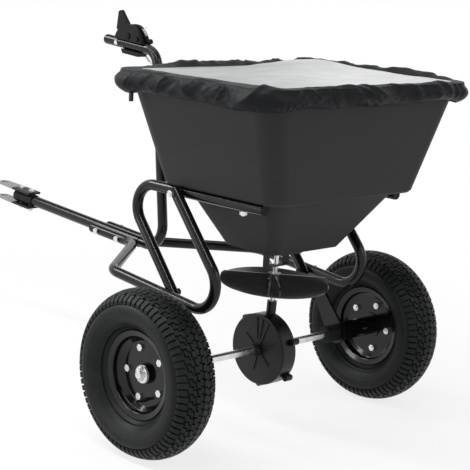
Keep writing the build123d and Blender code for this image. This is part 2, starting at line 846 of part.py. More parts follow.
# Tow bar and hitch tongues
sleeve_radius = tow_diameter / 2 + running + sleeve_wall
hitch_top = sleeve_radius + seat + hitch_plate
tip_along = (hitch_reach - clamp_fore - hitch_top * tow_sin) / tow_cos
bar_end = tip_along - hitch_gap - hitch_tip_width / 2
hitch_bolt_spots = [bar_end - hitch_bolt_inset, bar_end - hitch_bolt_inset - hitch_bolt_pitch]
bore_along = tip_along - hitch_tip_width / 2
with BuildPart() as tow_bar:
    clamp_holes = [tow_point(0, spot) for spot in clamp_spots]
    bar_points = [tow_point(0, tow_rear), tow_point(0, bar_end)]
    with BuildSketch(Plane(bar_points[0], x_dir=(1, 0, 0), z_dir=(0, tow_cos, tow_sin))):
        Circle(tow_diameter / 2)
        Circle(tow_diameter / 2 - tow_wall, mode=Mode.SUBTRACT)
    extrude(amount=bar_end - tow_rear)
    for point in clamp_holes:
        with Locations(point):
            Cylinder((frame_bolt + clear) / 2, 2 * tow_diameter, rotation=(0, 90, 0), mode=Mode.SUBTRACT)
    for spot in hitch_bolt_spots:
        with BuildSketch(tow_plane(spot)):
            Circle((frame_bolt + clear) / 2)
        extrude(amount=tow_diameter, both=True, mode=Mode.SUBTRACT)
keep(tow_bar.part, "tow_bar")

for name, way in (("upper", 1), ("lower", -1)):
    heel = bar_end - hitch_overlap
    with BuildPart() as tongue:
        with BuildSketch(tow_plane(0, way * (sleeve_radius + seat))):
            with BuildLine():
                Polyline(
                    (bore_along, -hitch_tip_width / 2),
                    (bar_end + 4, -hitch_width / 2),
                    (heel, -hitch_width / 2),
                    (heel, hitch_width / 2),
                    (bar_end + 4, hitch_width / 2),
                    (bore_along, hitch_tip_width / 2),
                )
                ThreePointArc(
                    (bore_along, hitch_tip_width / 2), (tip_along, 0), (bore_along, -hitch_tip_width / 2)
                )
            make_face()
            with Locations((bore_along, 0)):
                Circle(hitch_bore / 2, mode=Mode.SUBTRACT)
            with Locations(*[(spot, 0) for spot in hitch_bolt_spots]):
                Circle((frame_bolt + clear) / 2, mode=Mode.SUBTRACT)
        extrude(amount=way * hitch_plate)
    keep(tongue.part, f"hitch_{name}_plate")

hitch_bolt_planes = []
for spot in hitch_bolt_spots:
    hitch_bolt_planes.append(
        Plane(origin=tow_point(0, spot, hitch_top), x_dir=(1, 0, 0), z_dir=(0, tow_sin, -tow_cos))
    )
keep(bolt_set(hitch_bolt_planes, frame_bolt, 2 * hitch_top), "hitch_bolts")

clamp_grip = 2 * (clamp_spread + tube_diameter / 2)
clamp_bolt_planes = []
for spot in clamp_spots:
    clamp_bolt_planes.append(Plane(origin=tow_point(-clamp_grip / 2, spot), z_dir=(1, 0, 0)))
keep(bolt_set(clamp_bolt_planes, frame_bolt, clamp_grip), "tow_bar_bolts")

# Mast: one bent tube, pushed into the tow bar's rear end and held by the rear clamp bolt
handle_cos = cos(radians(handle_slope))
handle_sin = sin(radians(handle_slope))
handle_rise = tan(radians(handle_slope))
dome_height = mast_top_height + (dome_fore - mast_top_fore) * handle_rise


def handle_point(x, along, rise=0.0):
    """Point beside the mast's handle, measured from the middle of the lever housing."""
    fore = dome_fore + along * handle_cos - rise * handle_sin
    return (x, axle_y + fore, dome_height + along * handle_sin + rise * handle_cos)


def handle_plane(x):
    """Upright plane along the handle: local x runs forward along it, local y up from it."""
    return Plane(origin=handle_point(x, 0), x_dir=(0, handle_cos, handle_sin), z_dir=(1, 0, 0))


mast_points = [
    tow_point(0, mast_insert),
    tow_point(0, (mast_foot - clamp_fore) / tow_cos),
    (0, axle_y + mast_top_fore, mast_top_height),
    (0, axle_y + handle_end, mast_top_height + (handle_end - mast_top_fore) * handle_rise),
]
with BuildPart() as mast:
    add(bent_tube(mast_points, [mast_foot_radius, mast_top_radius], tube_diameter, tube_wall))
    with Locations(tow_point(0, 0)):
        Cylinder((frame_bolt + clear) / 2, 2 * tube_diameter, rotation=(0, 90, 0), mode=Mode.SUBTRACT)
    with Locations(handle_point(0, *handle_bolt_spot)):
        Cylinder((housing_bolt + clear) / 2, 2 * tube_diameter, rotation=(0, 90, 0), mode=Mode.SUBTRACT)
keep(mast.part, "control_tube")

# Plastic plugs in the open tube ends, and the sleeve over the tow bar's front end
with BuildPart() as plugs:
    plug_planes = [Plane(mast_points[-1], x_dir=(1, 0, 0), z_dir=(0, handle_cos, handle_sin))]
    for side in side_names:
        rail_end = (side * rail_half_spacing, axle_y + rail_rear, rail_height)
        plug_planes.append(Plane(rail_end, x_dir=(1, 0, 0), z_dir=(0, -1, 0)))
        clamp_tip = tow_point(side * clamp_spread, clamp_end)
        plug_planes.append(Plane(clamp_tip, x_dir=(1, 0, 0), z_dir=(0, tow_cos, tow_sin)))
    for plane in plug_planes:
        with BuildSketch(plane):
            Circle(tube_diameter / 2)
        extrude(amount=plug_cap, taper=12)
        with BuildSketch(plane):
            Circle(tube_diameter / 2 - tube_wall - running)
        extrude(amount=-plug_spigot)
    sleeve_end = Plane(tow_point(0, bar_end), x_dir=(1, 0, 0), z_dir=(0, tow_cos, tow_sin))
    with BuildSketch(sleeve_end.offset(plug_cap)):
        Circle(sleeve_radius)
    extrude(amount=-sleeve_length)
    with BuildSketch(sleeve_end):
        Circle(tow_diameter / 2 + running)
    extrude(amount=-sleeve_length, mode=Mode.SUBTRACT)
    for spot in hitch_bolt_spots:
        with BuildSketch(tow_plane(spot)):
            Circle((frame_bolt + clear) / 2)
        extrude(amount=2 * sleeve_radius, both=True, mode=Mode.SUBTRACT)
keep(plugs.part, "tube_plugs")

# Axle brackets under the loops, each with a flanged bush
bush_radius = axle_diameter / 2 + bush_wall


def bracket_top(fore):
    """Underside of the loop's side run, where a bracket is welded."""
    return side_run_at(fore) - tube_diameter / 2 / cos(radians(side_run_slope)) - seat / 2


for side, name in side_names.items():
    with BuildPart() as bracket:
        with BuildSketch(side_plane(side * loop_half_spacing - bracket_plate / 2)):
            with BuildLine():
                Line((bracket_rear, bracket_top(bracket_rear)), (bracket_fore, bracket_top(bracket_fore)))
                CenterArc((0, axle_height), bracket_foot, 0, 360)
            make_hull()
            with Locations((0, axle_height)):
                Circle(bush_radius + running, mode=Mode.SUBTRACT)
        extrude(amount=bracket_plate)
    keep(bracket.part, f"{name}_axle_bracket")

with BuildPart() as bushes:
    for side in side_names:
        face = side * (loop_half_spacing + bracket_plate / 2)
        with BuildSketch(side_plane(face)):
            with Locations((0, axle_height)):
                Circle(bush_radius + bush_flange_rim)
        extrude(amount=side * bush_flange)
        with BuildSketch(side_plane(face)):
            with Locations((0, axle_height)):
                Circle(bush_radius)
        extrude(amount=-side * (bracket_plate + bush_tail))
        with BuildSketch(side_plane(face)):
            with Locations((0, axle_height)):
                Circle(axle_diameter / 2 + running)
        extrude(amount=2 * (bracket_plate + bush_tail), both=True, mode=Mode.SUBTRACT)
keep(bushes.part, "axle_bushes")

# Hopper: a flared tray on a ledge, a funnel below it and a flat floor with two ports
ledge_height = rail_height + tube_diameter / 2 + seat
tray_flare = (rim_half_width - tray_half_width) / (rim_height - ledge_height)
shaft_bush_radius = shaft_diameter / 2 + shaft_bush_wall


def tray_outline(height, inset, half_width, half_length, corner):
    """Rounded rectangle of the tray at a height, drawn in by the inset."""
    with BuildSketch(plan_plane(height, -hopper_back)) as outline:
        RectangleRounded(2 * (half_width - inset), 2 * (half_length - inset), max(corner - inset, 1))
    return outline.sketch


def funnel_outline(height, inset):
    """Rounded rectangle of the funnel at a height between its floor and its throat."""
    share = (height - floor_height) / (ledge_height - floor_height)
    half_width = floor_half_width + share * (throat_half_width - floor_half_width)
    half_length = floor_half_length + share * (throat_half_length - floor_half_length)
    corner = floor_corner + share * (throat_corner - floor_corner)
    back = floor_back + share * (hopper_back - floor_back)
    with BuildSketch(plan_plane(height, -back)) as outline:
        RectangleRounded(2 * (half_width - inset), 2 * (half_length - inset), max(corner - inset, 1))
    return outline.sketch


def tray_sections(inset, bottom, top):
    """Outlines of the tray from its ledge, over the rounded edge, to its rim."""
    edge = bottom + tray_edge
    return [
        tray_outline(bottom, inset + tray_edge, tray_half_width, tray_half_length, tray_corner),
        tray_outline(edge, inset, tray_half_width + tray_flare * tray_edge, tray_half_length, tray_corner),
        tray_outline(top, inset, rim_half_width, rim_half_length, rim_corner),
    ]


funnel_wall = hopper_wall * 1.25
with BuildPart() as hopper:
    loft(tray_sections(0, ledge_height, rim_height), ruled=True)
    loft([funnel_outline(floor_height, 0), funnel_outline(ledge_height, 0)], ruled=True)
    lip = tray_outline(rim_height, -rim_lip, rim_half_width, rim_half_length, rim_corner)
    lip_inside = tray_outline(rim_height, hopper_wall - rim_lip, rim_half_width, rim_half_length, rim_corner)
    extrude(lip, amount=-hopper_wall)
    extrude(lip - lip_inside, amount=-rim_lip_depth)
    loft(tray_sections(hopper_wall, ledge_height + hopper_wall, rim_height), ruled=True, mode=Mode.SUBTRACT)
    loft(
        [
            funnel_outline(floor_height + floor_thickness, funnel_wall),
            funnel_outline(ledge_height + hopper_wall, funnel_wall),
        ],
        ruled=True,
        mode=Mode.SUBTRACT,
    )
    with BuildSketch(plan_plane(floor_height)):
        with Locations((-port_offset, port_fore), (port_offset, port_fore)):
            RectangleRounded(port_width, port_length, port_width / 4)
    extrude(amount=floor_thickness, mode=Mode.SUBTRACT)
    with BuildSketch(drive_plane(0)):
        Circle(shaft_bush_radius + clear)
    extrude(amount=shaft_top, mode=Mode.SUBTRACT)
    for side in side_names:
        for spot in hopper_bolt_spots:
            with Locations((side * rail_half_spacing, axle_y + spot, ledge_height)):
                Cylinder((frame_bolt + clear) / 2, 4 * hopper_wall, mode=Mode.SUBTRACT)
keep(hopper.part, "hopper")

hopper_bolt_planes = []
for side in side_names:
    for spot in hopper_bolt_spots:
        head = (side * rail_half_spacing, axle_y + spot, ledge_height + hopper_wall)
        hopper_bolt_planes.append(Plane(head, x_dir=(1, 0, 0), z_dir=(0, 0, -1)))
hopper_grip = hopper_wall + seat + tube_diameter
keep(bolt_set(hopper_bolt_planes, frame_bolt, hopper_grip), "hopper_bolts")

with BuildPart() as shaft_bush:
    floor_rise = (floor_height - axle_height) / lean_cos
    with BuildSketch(drive_plane(floor_rise + 2 * clear)):
        Circle(shaft_bush_radius)
    extrude(amount=floor_thickness + shaft_bush_wall)
    with BuildSketch(drive_plane(floor_rise + floor_thickness + 2 * clear)):
        Circle(shaft_bush_radius + shaft_bush_wall)
    extrude(amount=shaft_bush_wall)
    with BuildSketch(drive_plane(0)):
        Circle(shaft_diameter / 2 + running)
    extrude(amount=shaft_top, mode=Mode.SUBTRACT)
keep(shaft_bush.part, "shaft_bush")

# Outlet housing under the floor, and the gate that slides in it
outlet_top = floor_height - seat / 2
gate_top = floor_height - clear
gate_bottom = gate_top - gate_thickness
gate_half_width = outlet_width / 2 - outlet_wall - clear
with BuildPart() as outlet:
    with BuildSketch(plan_plane(outlet_top, outlet_fore)):
        RectangleRounded(outlet_width, outlet_length, 2 * outlet_wall)
        Rectangle(outlet_width - 2 * outlet_wall, outlet_length - 2 * outlet_wall, mode=Mode.SUBTRACT)
    extrude(amount=-outlet_depth)
    with BuildSketch(plan_plane(gate_bottom - seat, outlet_fore)):
        with Locations((outlet_width / 2 - outlet_wall - 2, 0), (2 + outlet_wall - outlet_width / 2, 0)):
            Rectangle(6, outlet_length - outlet_wall)
    extrude(amount=-3)
    with BuildSketch(plan_plane(outlet_top, outlet_fore + outlet_length / 2)):
        Rectangle(2 * (gate_half_width + clear), 3 * outlet_wall)
    extrude(amount=-(outlet_top - gate_bottom + seat), mode=Mode.SUBTRACT)
    stirrup_fore = -(outlet_top - stirrup_drop - axle_height) * lean_sin / lean_cos
    with BuildSketch(plan_plane(outlet_top, stirrup_fore)):
        for way in (-1, 1):
            with Locations((way * (outlet_width - outlet_wall) / 2, 0)):
                Rectangle(outlet_wall, stirrup_width)
    extrude(amount=-stirrup_drop)
    with BuildSketch(plan_plane(outlet_top - stirrup_drop, stirrup_fore)):
        Rectangle(outlet_width, stirrup_width)
    extrude(amount=outlet_wall)
    with BuildSketch(drive_plane(0)):
        Circle(shaft_diameter / 2 + clear)
    extrude(amount=(gate_bottom - axle_height) / lean_cos, mode=Mode.SUBTRACT)
keep(outlet.part, "outlet_housing")

# Lever linkage: the rod is square to the crank near half travel
pivot_fore = dome_fore - lever_pivot_rise * handle_sin
pivot_height = dome_height + lever_pivot_rise * handle_cos
pivot_span = hypot(pivot_fore - gate_tab_fore, pivot_height - gate_pin_height)
pivot_bearing = atan2(pivot_height - gate_pin_height, pivot_fore - gate_tab_fore)
crank_rest = pivot_bearing - asin(crank_length / pivot_span) - pi / 2 - radians(lever_travel) / 2


def crank_pin(turn):
    """Fore-and-aft place and height of the crank's pin when the lever has turned this far."""
    angle = crank_rest + radians(turn)
    return (pivot_fore + crank_length * cos(angle), pivot_height + crank_length * sin(angle))


crank_fore, crank_height = crank_pin(0)
open_fore, open_height = crank_pin(lever_travel)
rod_length = hypot(crank_fore - gate_tab_fore, crank_height - gate_pin_height)
gate_travel = open_fore - gate_tab_fore - sqrt(rod_length**2 - (open_height - gate_pin_height) ** 2)
rod_tilt_shut = atan2(crank_height - gate_pin_height, crank_fore - gate_tab_fore)
rod_tilt_open = asin((open_height - gate_pin_height) / rod_length)

shaft_at_gate = -(gate_top - axle_height) * lean_sin / lean_cos
gate_rear = port_fore - port_length / 2 - 5
with BuildPart() as gate:
    with BuildSketch(plan_plane(gate_bottom)):
        with Locations((0, (gate_rear + gate_tab_fore - gate_tab_reach) / 2)):
            Rectangle(2 * gate_half_width, gate_tab_fore - gate_tab_reach - gate_rear)
        with Locations((gate_tab_offset + 8, gate_tab_fore - gate_tab_reach)):
            Rectangle(24, 20)
        with Locations((0, shaft_at_gate - gate_travel / 2)):
            pass_width = shaft_diameter + 8 * clear
            SlotOverall(gate_travel + pass_width, pass_width, rotation=90, mode=Mode.SUBTRACT)
    extrude(amount=gate_thickness)
    with BuildSketch(side_plane(gate_tab_offset)):
        tab_foot = gate_pin_height - gate_slot_play - rod_diameter
        with Locations((gate_tab_fore, (tab_foot + gate_top) / 2)):
            Rectangle(2 * gate_tab_reach, gate_top - tab_foot)
        with Locations((gate_tab_fore, gate_pin_height)):
            slot_width = rod_diameter + 2 * clear
            slot_turn = degrees(rod_tilt_shut + rod_tilt_open) / 2 - 90
            SlotOverall(2 * gate_slot_play + slot_width, slot_width, rotation=slot_turn, mode=Mode.SUBTRACT)
    extrude(amount=gate_tab_thickness)
keep(gate.part, "gate")

# Lever housing: two halves round the handle, with the lever between their cheeks
lever_gap = lever_thickness / 2 + clear


def lever_housing(side):
    """Half of the housing: a domed cheek on the handle; the right half also reaches under the handle."""
    with BuildPart() as piece:
        with BuildSketch(handle_plane(side * lever_gap)):
            with BuildLine():
                ThreePointArc((dome_radius, 0), (0, dome_radius), (-dome_radius, 0))
                Line((-dome_radius, 0), (dome_radius, 0))
            make_face()
        extrude(amount=side * (dome_width / 2 - lever_gap))
        if side > 0:
            with BuildSketch(handle_plane(0)):
                with BuildLine():
                    Polyline(
                        (dome_radius, dome_base),
                        (-dome_radius + 1, dome_base),
                        (-dome_radius, -6),
                        (-dome_radius + 10, -dome_drop),
                        (16, -dome_drop),
                        (26, -8),
                        (dome_radius, -7),
                        close=True,
                    )
                make_face()
            extrude(amount=dome_width / 2)
            with BuildSketch(handle_plane(-tube_diameter / 2)):
                with BuildLine():
                    Polyline(
                        (-dome_radius + 4, -tube_diameter / 2),
                        (-dome_radius + 10, -dome_drop),
                        (16, -dome_drop),
                        (22, -tube_diameter / 2),
                        close=True,
                    )
                make_face()
            extrude(amount=tube_diameter / 2)
        else:
            with BuildSketch(handle_plane(-lever_gap)):
                Rectangle(4 * dome_radius, 2 * saddle_rise)
            extrude(amount=-dome_width, mode=Mode.SUBTRACT)
        bore_start = handle_point(0, -2 * dome_radius)
        with BuildSketch(Plane(bore_start, x_dir=(1, 0, 0), z_dir=(0, handle_cos, handle_sin))):
            Circle(tube_diameter / 2 + seat)
        extrude(amount=4 * dome_radius, mode=Mode.SUBTRACT)
        with BuildSketch(handle_plane(0)):
            with Locations((0, lever_pivot_rise)):
                Circle(lever_shaft_diameter / 2 + running)
            with Locations(handle_bolt_spot, cheek_bolt_spot):
                Circle((housing_bolt + clear) / 2)
        extrude(amount=side * dome_width, mode=Mode.SUBTRACT)
    return piece.part


for side, name in side_names.items():
    keep(lever_housing(side), f"{name}_lever_housing")

with BuildPart() as housing_bolts:
    for spot, start in ((handle_bolt_spot, -tube_diameter / 2), (cheek_bolt_spot, -dome_width / 2)):
        head_plane = Plane(origin=handle_point(start, *spot), z_dir=(1, 0, 0))
        add(bolt_set([head_plane], housing_bolt, dome_width / 2 - start))
keep(housing_bolts.part, "lever_housing_bolts")

scale_sweep = scale_end - scale_start
with BuildPart() as scale:
    with BuildSketch(handle_plane(lever_gap + clear)):
        with BuildLine():
            inner = CenterArc((0, 0), dome_radius + running, scale_start, scale_sweep)
            outer = CenterArc((0, 0), dome_radius + running + scale_thickness, scale_start, scale_sweep)
            Line(inner @ 0, outer @ 0)
            Line(inner @ 1, outer @ 1)
        make_face()
    extrude(amount=dome_width / 2 - lever_gap - 2 * clear)
keep(scale.part, "scale_plate")

knob_spot = (dome_radius * cos(radians(knob_turn)), dome_radius * sin(radians(knob_turn)))
knob_heading = radians(knob_turn + handle_slope)
knob_foot = Plane(
    handle_point((dome_width / 2 + lever_gap) / 2, *knob_spot),
    x_dir=(1, 0, 0),
    z_dir=(0, cos(knob_heading), sin(knob_heading)),
)
with BuildPart() as knob:
    with BuildSketch(knob_foot):
        Circle(knob_radius / 2)
    extrude(amount=knob_radius)
    with BuildSketch(knob_foot.offset(knob_radius / 2)):
        RegularPolygon(knob_radius, 8)
    extrude(amount=1.3 * knob_radius)
keep(knob.part, "stop_knob")

# Lever, its cross shaft and the crank on the shaft's right end
with BuildPart() as lever:
    with BuildSketch(handle_plane(-lever_thickness / 2)):
        with BuildLine():
            CenterArc((0, lever_pivot_rise), 8, 0, 360)
            CenterArc(lever_arm_tip, lever_arm_radius, 0, 360)
        make_hull()
        with BuildLine():
            for along, rise in paddle_corners:
                CenterArc((along, rise), 2, 0, 360)
        make_hull()
        with Locations((0, lever_pivot_rise)):
            Circle(lever_shaft_diameter / 2 + running, mode=Mode.SUBTRACT)
    extrude(amount=lever_thickness)
keep(lever.part, "lever")

crank_offset = dome_width / 2 + 2
with BuildPart() as lever_shaft:
    with BuildSketch(handle_plane(-dome_width / 2 - seat)):
        with Locations((0, lever_pivot_rise)):
            Circle(lever_shaft_diameter / 2)
    extrude(amount=dome_width / 2 + seat + crank_offset + crank_thickness + rod_overhang)
    with BuildSketch(handle_plane(-dome_width / 2 - seat)):
        with Locations((0, lever_pivot_rise)):
            Circle(lever_shaft_diameter / 2 + 3)
    extrude(amount=-2.5)
keep(lever_shaft.part, "lever_shaft")

with BuildPart() as crank:
    with BuildSketch(side_plane(crank_offset)):
        with BuildLine():
            CenterArc((pivot_fore, pivot_height), 9, 0, 360)
            CenterArc((crank_fore, crank_height), 6.5, 0, 360)
        make_hull()
        with Locations((pivot_fore, pivot_height)):
            Circle(lever_shaft_diameter / 2 + running, mode=Mode.SUBTRACT)
        with Locations((crank_fore, crank_height)):
            Circle(rod_diameter / 2 + running, mode=Mode.SUBTRACT)
    extrude(amount=crank_thickness)
keep(crank.part, "crank_arm")

# Control rod: a straight wire rod with both ends bent inwards
rod_points = [
    (crank_offset - rod_overhang / 2, axle_y + crank_fore, crank_height),
    (rod_offset, axle_y + crank_fore, crank_height),
    (rod_offset, axle_y + gate_tab_fore, gate_pin_height),
    (gate_tab_offset - rod_overhang, axle_y + gate_tab_fore, gate_pin_height),
]
with BuildPart() as rod:
    with BuildLine() as rod_path:
        FilletPolyline(*rod_points, radius=rod_bend)
    with BuildSketch(rod_path.line ^ 0):
        Circle(rod_diameter / 2)
    sweep()
keep(rod.part, "control_rod")

# Weather cover: a clear window, a cloth band with a gathered skirt, and a cord lock
cover_under = rim_height + seat
inner_half_width = rim_half_width + rim_lip + 2 * clear
inner_half_length = rim_half_length + rim_lip + 2 * clear
inner_corner = rim_corner + rim_lip + 2 * clear
skirt_corner = inner_corner + skirt_cloth / 2


def gather_points():
    """Points round the skirt's foot, where one gather meets the next, counter-clockwise."""
    straight_x = inner_half_width - inner_corner
    straight_y = inner_half_length - inner_corner
    points = []
    for quarter in range(4):
        centre_x = straight_x if quarter in (0, 3) else -straight_x
        centre_y = straight_y if quarter in (0, 1) else -straight_y
        for step in range(gathers_corner + 1):
            angle = radians(90 * (quarter + step / gathers_corner))
            points.append(Vector(centre_x + skirt_corner * cos(angle), centre_y + skirt_corner * sin(angle)))
        count = gathers_along if quarter in (0, 2) else gathers_across
        start = points[-1]
        run = 2 * (straight_x if quarter in (0, 2) else straight_y)
        heading = radians(90 * (quarter + 2))
        for step in range(1, count):
            points.append(start + Vector(cos(heading), sin(heading)) * (run * step / count))
    return points


def window_outline(height, inset):
    """Rounded rectangle of the cover's film at a height, drawn in by the inset."""
    with BuildSketch(plan_plane(height, -hopper_back)) as outline:
        RectangleRounded(
            2 * (inner_half_width - cover_band - inset),
            2 * (inner_half_length - cover_band - inset),
            inner_corner - cover_band,
        )
    return outline.sketch


def roll_outline(turn, inset):
    """Outline of the cloth roll over the rim, at an angle round its section and drawn in by the inset."""
    height = cover_under + cover_sheet - skirt_depth / 2 + (skirt_depth / 2 - inset) * sin(radians(turn))
    reach = hem_reach + (cover_roll - inset) * cos(radians(turn))
    return tray_outline(height, -reach, rim_half_width, rim_half_length, rim_corner)


hem_foot = cover_under + cover_sheet - skirt_depth
with BuildPart() as skirt:
    loft([roll_outline(turn, 0) for turn in roll_turns], ruled=True)
    loft([roll_outline(turn, cover_sheet) for turn in roll_turns], ruled=True, mode=Mode.SUBTRACT)
    with BuildSketch(plan_plane(hem_foot, -hopper_back)):
        with BuildLine():
            folds = gather_points()
            for here, after in zip(folds, folds[1:] + folds[:1]):
                along = after - here
                outward = Vector(along.Y, -along.X).normalized()
                ThreePointArc(here, (here + after) / 2 + outward * skirt_gather, after)
        make_face()
    extrude(amount=hem_depth)
    with BuildSketch(plan_plane(hem_foot, -hopper_back)):
        RectangleRounded(2 * inner_half_width, 2 * inner_half_length, inner_corner)
    extrude(amount=cover_under - hem_foot, mode=Mode.SUBTRACT)
    extrude(window_outline(cover_under, 0), amount=cover_sheet, mode=Mode.SUBTRACT)
keep(skirt.part, "cover_skirt")


crown_height = cover_under + cover_sheet + cover_crown
with BuildPart() as window:
    extrude(window_outline(cover_under, seat / 2), amount=cover_sheet)
    loft(
        [window_outline(cover_under + cover_sheet, seat / 2), window_outline(crown_height, cover_slope)],
        ruled=True,
    )
    loft(
        [window_outline(cover_under, cover_sheet), window_outline(crown_height - cover_sheet, cover_slope)],
        ruled=True,
        mode=Mode.SUBTRACT,
    )
keep(window.part, "cover_top")

lock_ring = inner_corner + lock_radius
lock_x = inner_corner - inner_half_width + lock_ring * cos(radians(lock_turn))
lock_y = inner_half_length - inner_corner + lock_ring * sin(radians(lock_turn))
with BuildPart() as cord_lock:
    with BuildSketch(plan_plane(cover_under + cover_sheet - skirt_depth - seat, -hopper_back)):
        with Locations((lock_x, lock_y)):
            Circle(lock_radius)
    extrude(amount=-lock_length)
    fillet(cord_lock.edges().filter_by(GeomType.CIRCLE), 1.5)
keep(cord_lock.part, "cover_cord_lock")
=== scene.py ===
import math

import bmesh
import bpy
import numpy as np
from mathutils import Matrix, Vector, noise


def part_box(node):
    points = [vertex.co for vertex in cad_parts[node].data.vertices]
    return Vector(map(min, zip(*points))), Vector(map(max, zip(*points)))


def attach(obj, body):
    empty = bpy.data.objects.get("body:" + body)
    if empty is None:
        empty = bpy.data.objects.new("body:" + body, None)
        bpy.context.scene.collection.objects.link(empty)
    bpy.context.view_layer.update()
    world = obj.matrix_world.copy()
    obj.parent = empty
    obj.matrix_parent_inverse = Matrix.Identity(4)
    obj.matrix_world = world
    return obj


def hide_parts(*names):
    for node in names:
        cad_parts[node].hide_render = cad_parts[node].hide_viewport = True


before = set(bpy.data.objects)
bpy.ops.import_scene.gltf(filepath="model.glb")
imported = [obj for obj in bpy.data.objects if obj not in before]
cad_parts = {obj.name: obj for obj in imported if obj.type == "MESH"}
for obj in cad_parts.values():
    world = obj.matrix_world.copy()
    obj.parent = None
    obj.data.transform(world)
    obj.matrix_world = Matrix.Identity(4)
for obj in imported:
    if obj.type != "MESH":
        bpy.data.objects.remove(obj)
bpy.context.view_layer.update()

# Camera: a long lens behind the left wheel and a little above the cover, looking forward and to the right.
# It is placed from the middle of the axle, round which both wheels and the gear case sit.
axle_low, axle_high = (Vector(corner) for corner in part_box("axle"))
axle_middle = (axle_low + axle_high) / 2
camera_data = bpy.data.cameras.new("camera")
camera_data.sensor_width = 36.0
camera_data.lens = 110.54
camera = bpy.data.objects.new("camera", camera_data)
bpy.context.collection.objects.link(camera)
camera_right = Vector((0.7155, -0.6966, 0.0534))
camera_up = Vector((0.0983, 0.1761, 0.9794))
camera_back = Vector((-0.6917, -0.6955, 0.1945))
camera_place = axle_middle + Vector((-2.0775, -1.9777, 0.7996))
camera_turn = Matrix((camera_right, camera_up, camera_back)).transposed().to_4x4()
camera.matrix_world = Matrix.Translation(camera_place) @ camera_turn
bpy.context.scene.camera = camera

# Cart frame: two cane-shaped rails, two loops, the tow bar and the mast, all bent from round steel tube,
# and the axle brackets welded under the loops. The steel is powder-coated gloss black, which flows out to a
# faint orange peel, and gathers a little dust.


class Wire:
    """A socket of a material, which joins in sums as a number would."""

    def __init__(self, tree, socket=None):
        self.tree = tree
        self.socket = socket

    def add(self, kind, settings=None, inputs=None, output=0):
        """A new node of this kind, with its settings first, then the values and links of its sockets."""
        node = self.tree.nodes.new(kind)
        for name, value in (settings or {}).items():
            setattr(node, name, value)
        for name, value in (inputs or {}).items():
            if isinstance(value, Wire):
                self.tree.links.new(value.socket, node.inputs[name])
            else:
                node.inputs[name].default_value = value
        return Wire(self.tree, node.outputs[output])

    def maths(self, operation, first, second):
        return self.add("ShaderNodeMath", {"operation": operation}, {0: first, 1: second})

    def __add__(self, other):
        return self.maths("ADD", self, other)

    def __sub__(self, other):
        return self.maths("SUBTRACT", self, other)

    def __rsub__(self, other):
        return self.maths("SUBTRACT", other, self)

    def __mul__(self, other):
        return self.maths("MULTIPLY", self, other)

    __radd__ = __add__
    __rmul__ = __mul__

    def axis(self, letter):
        """One coordinate of this place."""
        return self.add("ShaderNodeSeparateXYZ", None, {"Vector": self}, letter)

    def stretched(self, *scale):
        """This place with its axes scaled, so that a pattern laid on it runs in streaks."""
        return self.add("ShaderNodeMapping", None, {"Vector": self, "Scale": scale})

    def grain(self, scale, detail=2.0, rough=0.5):
        """Cloudy noise over the surface, from 0 to 1, with this many clouds to the metre."""
        clouds = {"Vector": self, "Scale": scale, "Detail": detail, "Roughness": rough}
        return self.add("ShaderNodeTexNoise", None, clouds)

    def steps(self, low, high):
        """0 below the low value and 1 above the high one, with a straight run between."""
        return self.add("ShaderNodeMapRange", None, {"Value": self, "From Min": low, "From Max": high})

    def tint(self, dark, light):
        """A colour between two, by this share."""
        first_colour, second_colour, mixed_colour = 6, 7, 2
        sockets = {"Factor": self, first_colour: (*dark, 1), second_colour: (*light, 1)}
        return self.add("ShaderNodeMix", {"data_type": "RGBA"}, sockets, mixed_colour)

    def bump(self, strength, depth):
        """A normal that stands up by this height in metres."""
        return self.add("ShaderNodeBump", None, {"Height": self, "Strength": strength, "Distance": depth})


def new_finish(name, coordinates="Object", **plain):
    """A material with the plain values of its shader, and the wire that its pattern starts from."""
    material = bpy.data.materials.new(name)
    material.use_nodes = True
    shader = material.node_tree.nodes["Principled BSDF"]
    for socket, value in plain.items():
        shader.inputs[socket.replace("_", " ")].default_value = value
    place = Wire(material.node_tree).add("ShaderNodeTexCoord", output=coordinates)
    return material, place


def lay_on(material, **wires):
    """Feed wires into the sockets of a material's shader."""
    shader = material.node_tree.nodes["Principled BSDF"]
    for socket, wire in wires.items():
        material.node_tree.links.new(wire.socket, shader.inputs[socket.replace("_", " ")])


def dress(material, *nodes):
    """Give a finish to solids that keep their own shape."""
    for node in nodes:
        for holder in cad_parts[node].material_slots:
            holder.material = material


frame_paint, place = new_finish("frame_paint", Specular_IOR_Level=0.25, Coat_Weight=0.1, Coat_Roughness=0.14)
peel = place.grain(420.0, 1.0)
dust = place.grain(23.0, 5.0, 0.62).steps(0.52, 0.78)
specks = place.grain(900.0, 2.0, 0.7).steps(0.66, 0.74)
lay_on(
    frame_paint,
    Base_Color=(dust * 0.6 + specks * 0.4).tint((0.004, 0.0042, 0.0045), (0.016, 0.016, 0.016)),
    Roughness=0.2 + peel * 0.05 + dust * 0.1,
    Normal=(peel + specks * 0.2).bump(0.05, 0.0003),
)
dress(
    frame_paint,
    "left_rail_tube",
    "right_rail_tube",
    "left_lower_tube",
    "right_lower_tube",
    "tow_bar",
    "control_tube",
    "left_axle_bracket",
    "right_axle_bracket",
)

# Gate and outlet frame: pressed sheet steel under the hopper's floor, painted black, and rubbed thin
# along the slide by the grain that runs through.
sheet_paint, place = new_finish("sheet_paint", Specular_IOR_Level=0.3)
rubbed = place.grain(60.0, 5.0, 0.65).steps(0.5, 0.75)
grit = place.grain(700.0, 3.0, 0.6)
lay_on(
    sheet_paint,
    Base_Color=(rubbed * 0.7 + grit * 0.3).tint((0.012, 0.0122, 0.0125), (0.05, 0.05, 0.051)),
    Roughness=0.42 + grit * 0.14 - rubbed * 0.1,
    Normal=(grit + rubbed * 0.4).bump(0.15, 0.0003),
)
dress(sheet_paint, "gate", "outlet_housing")

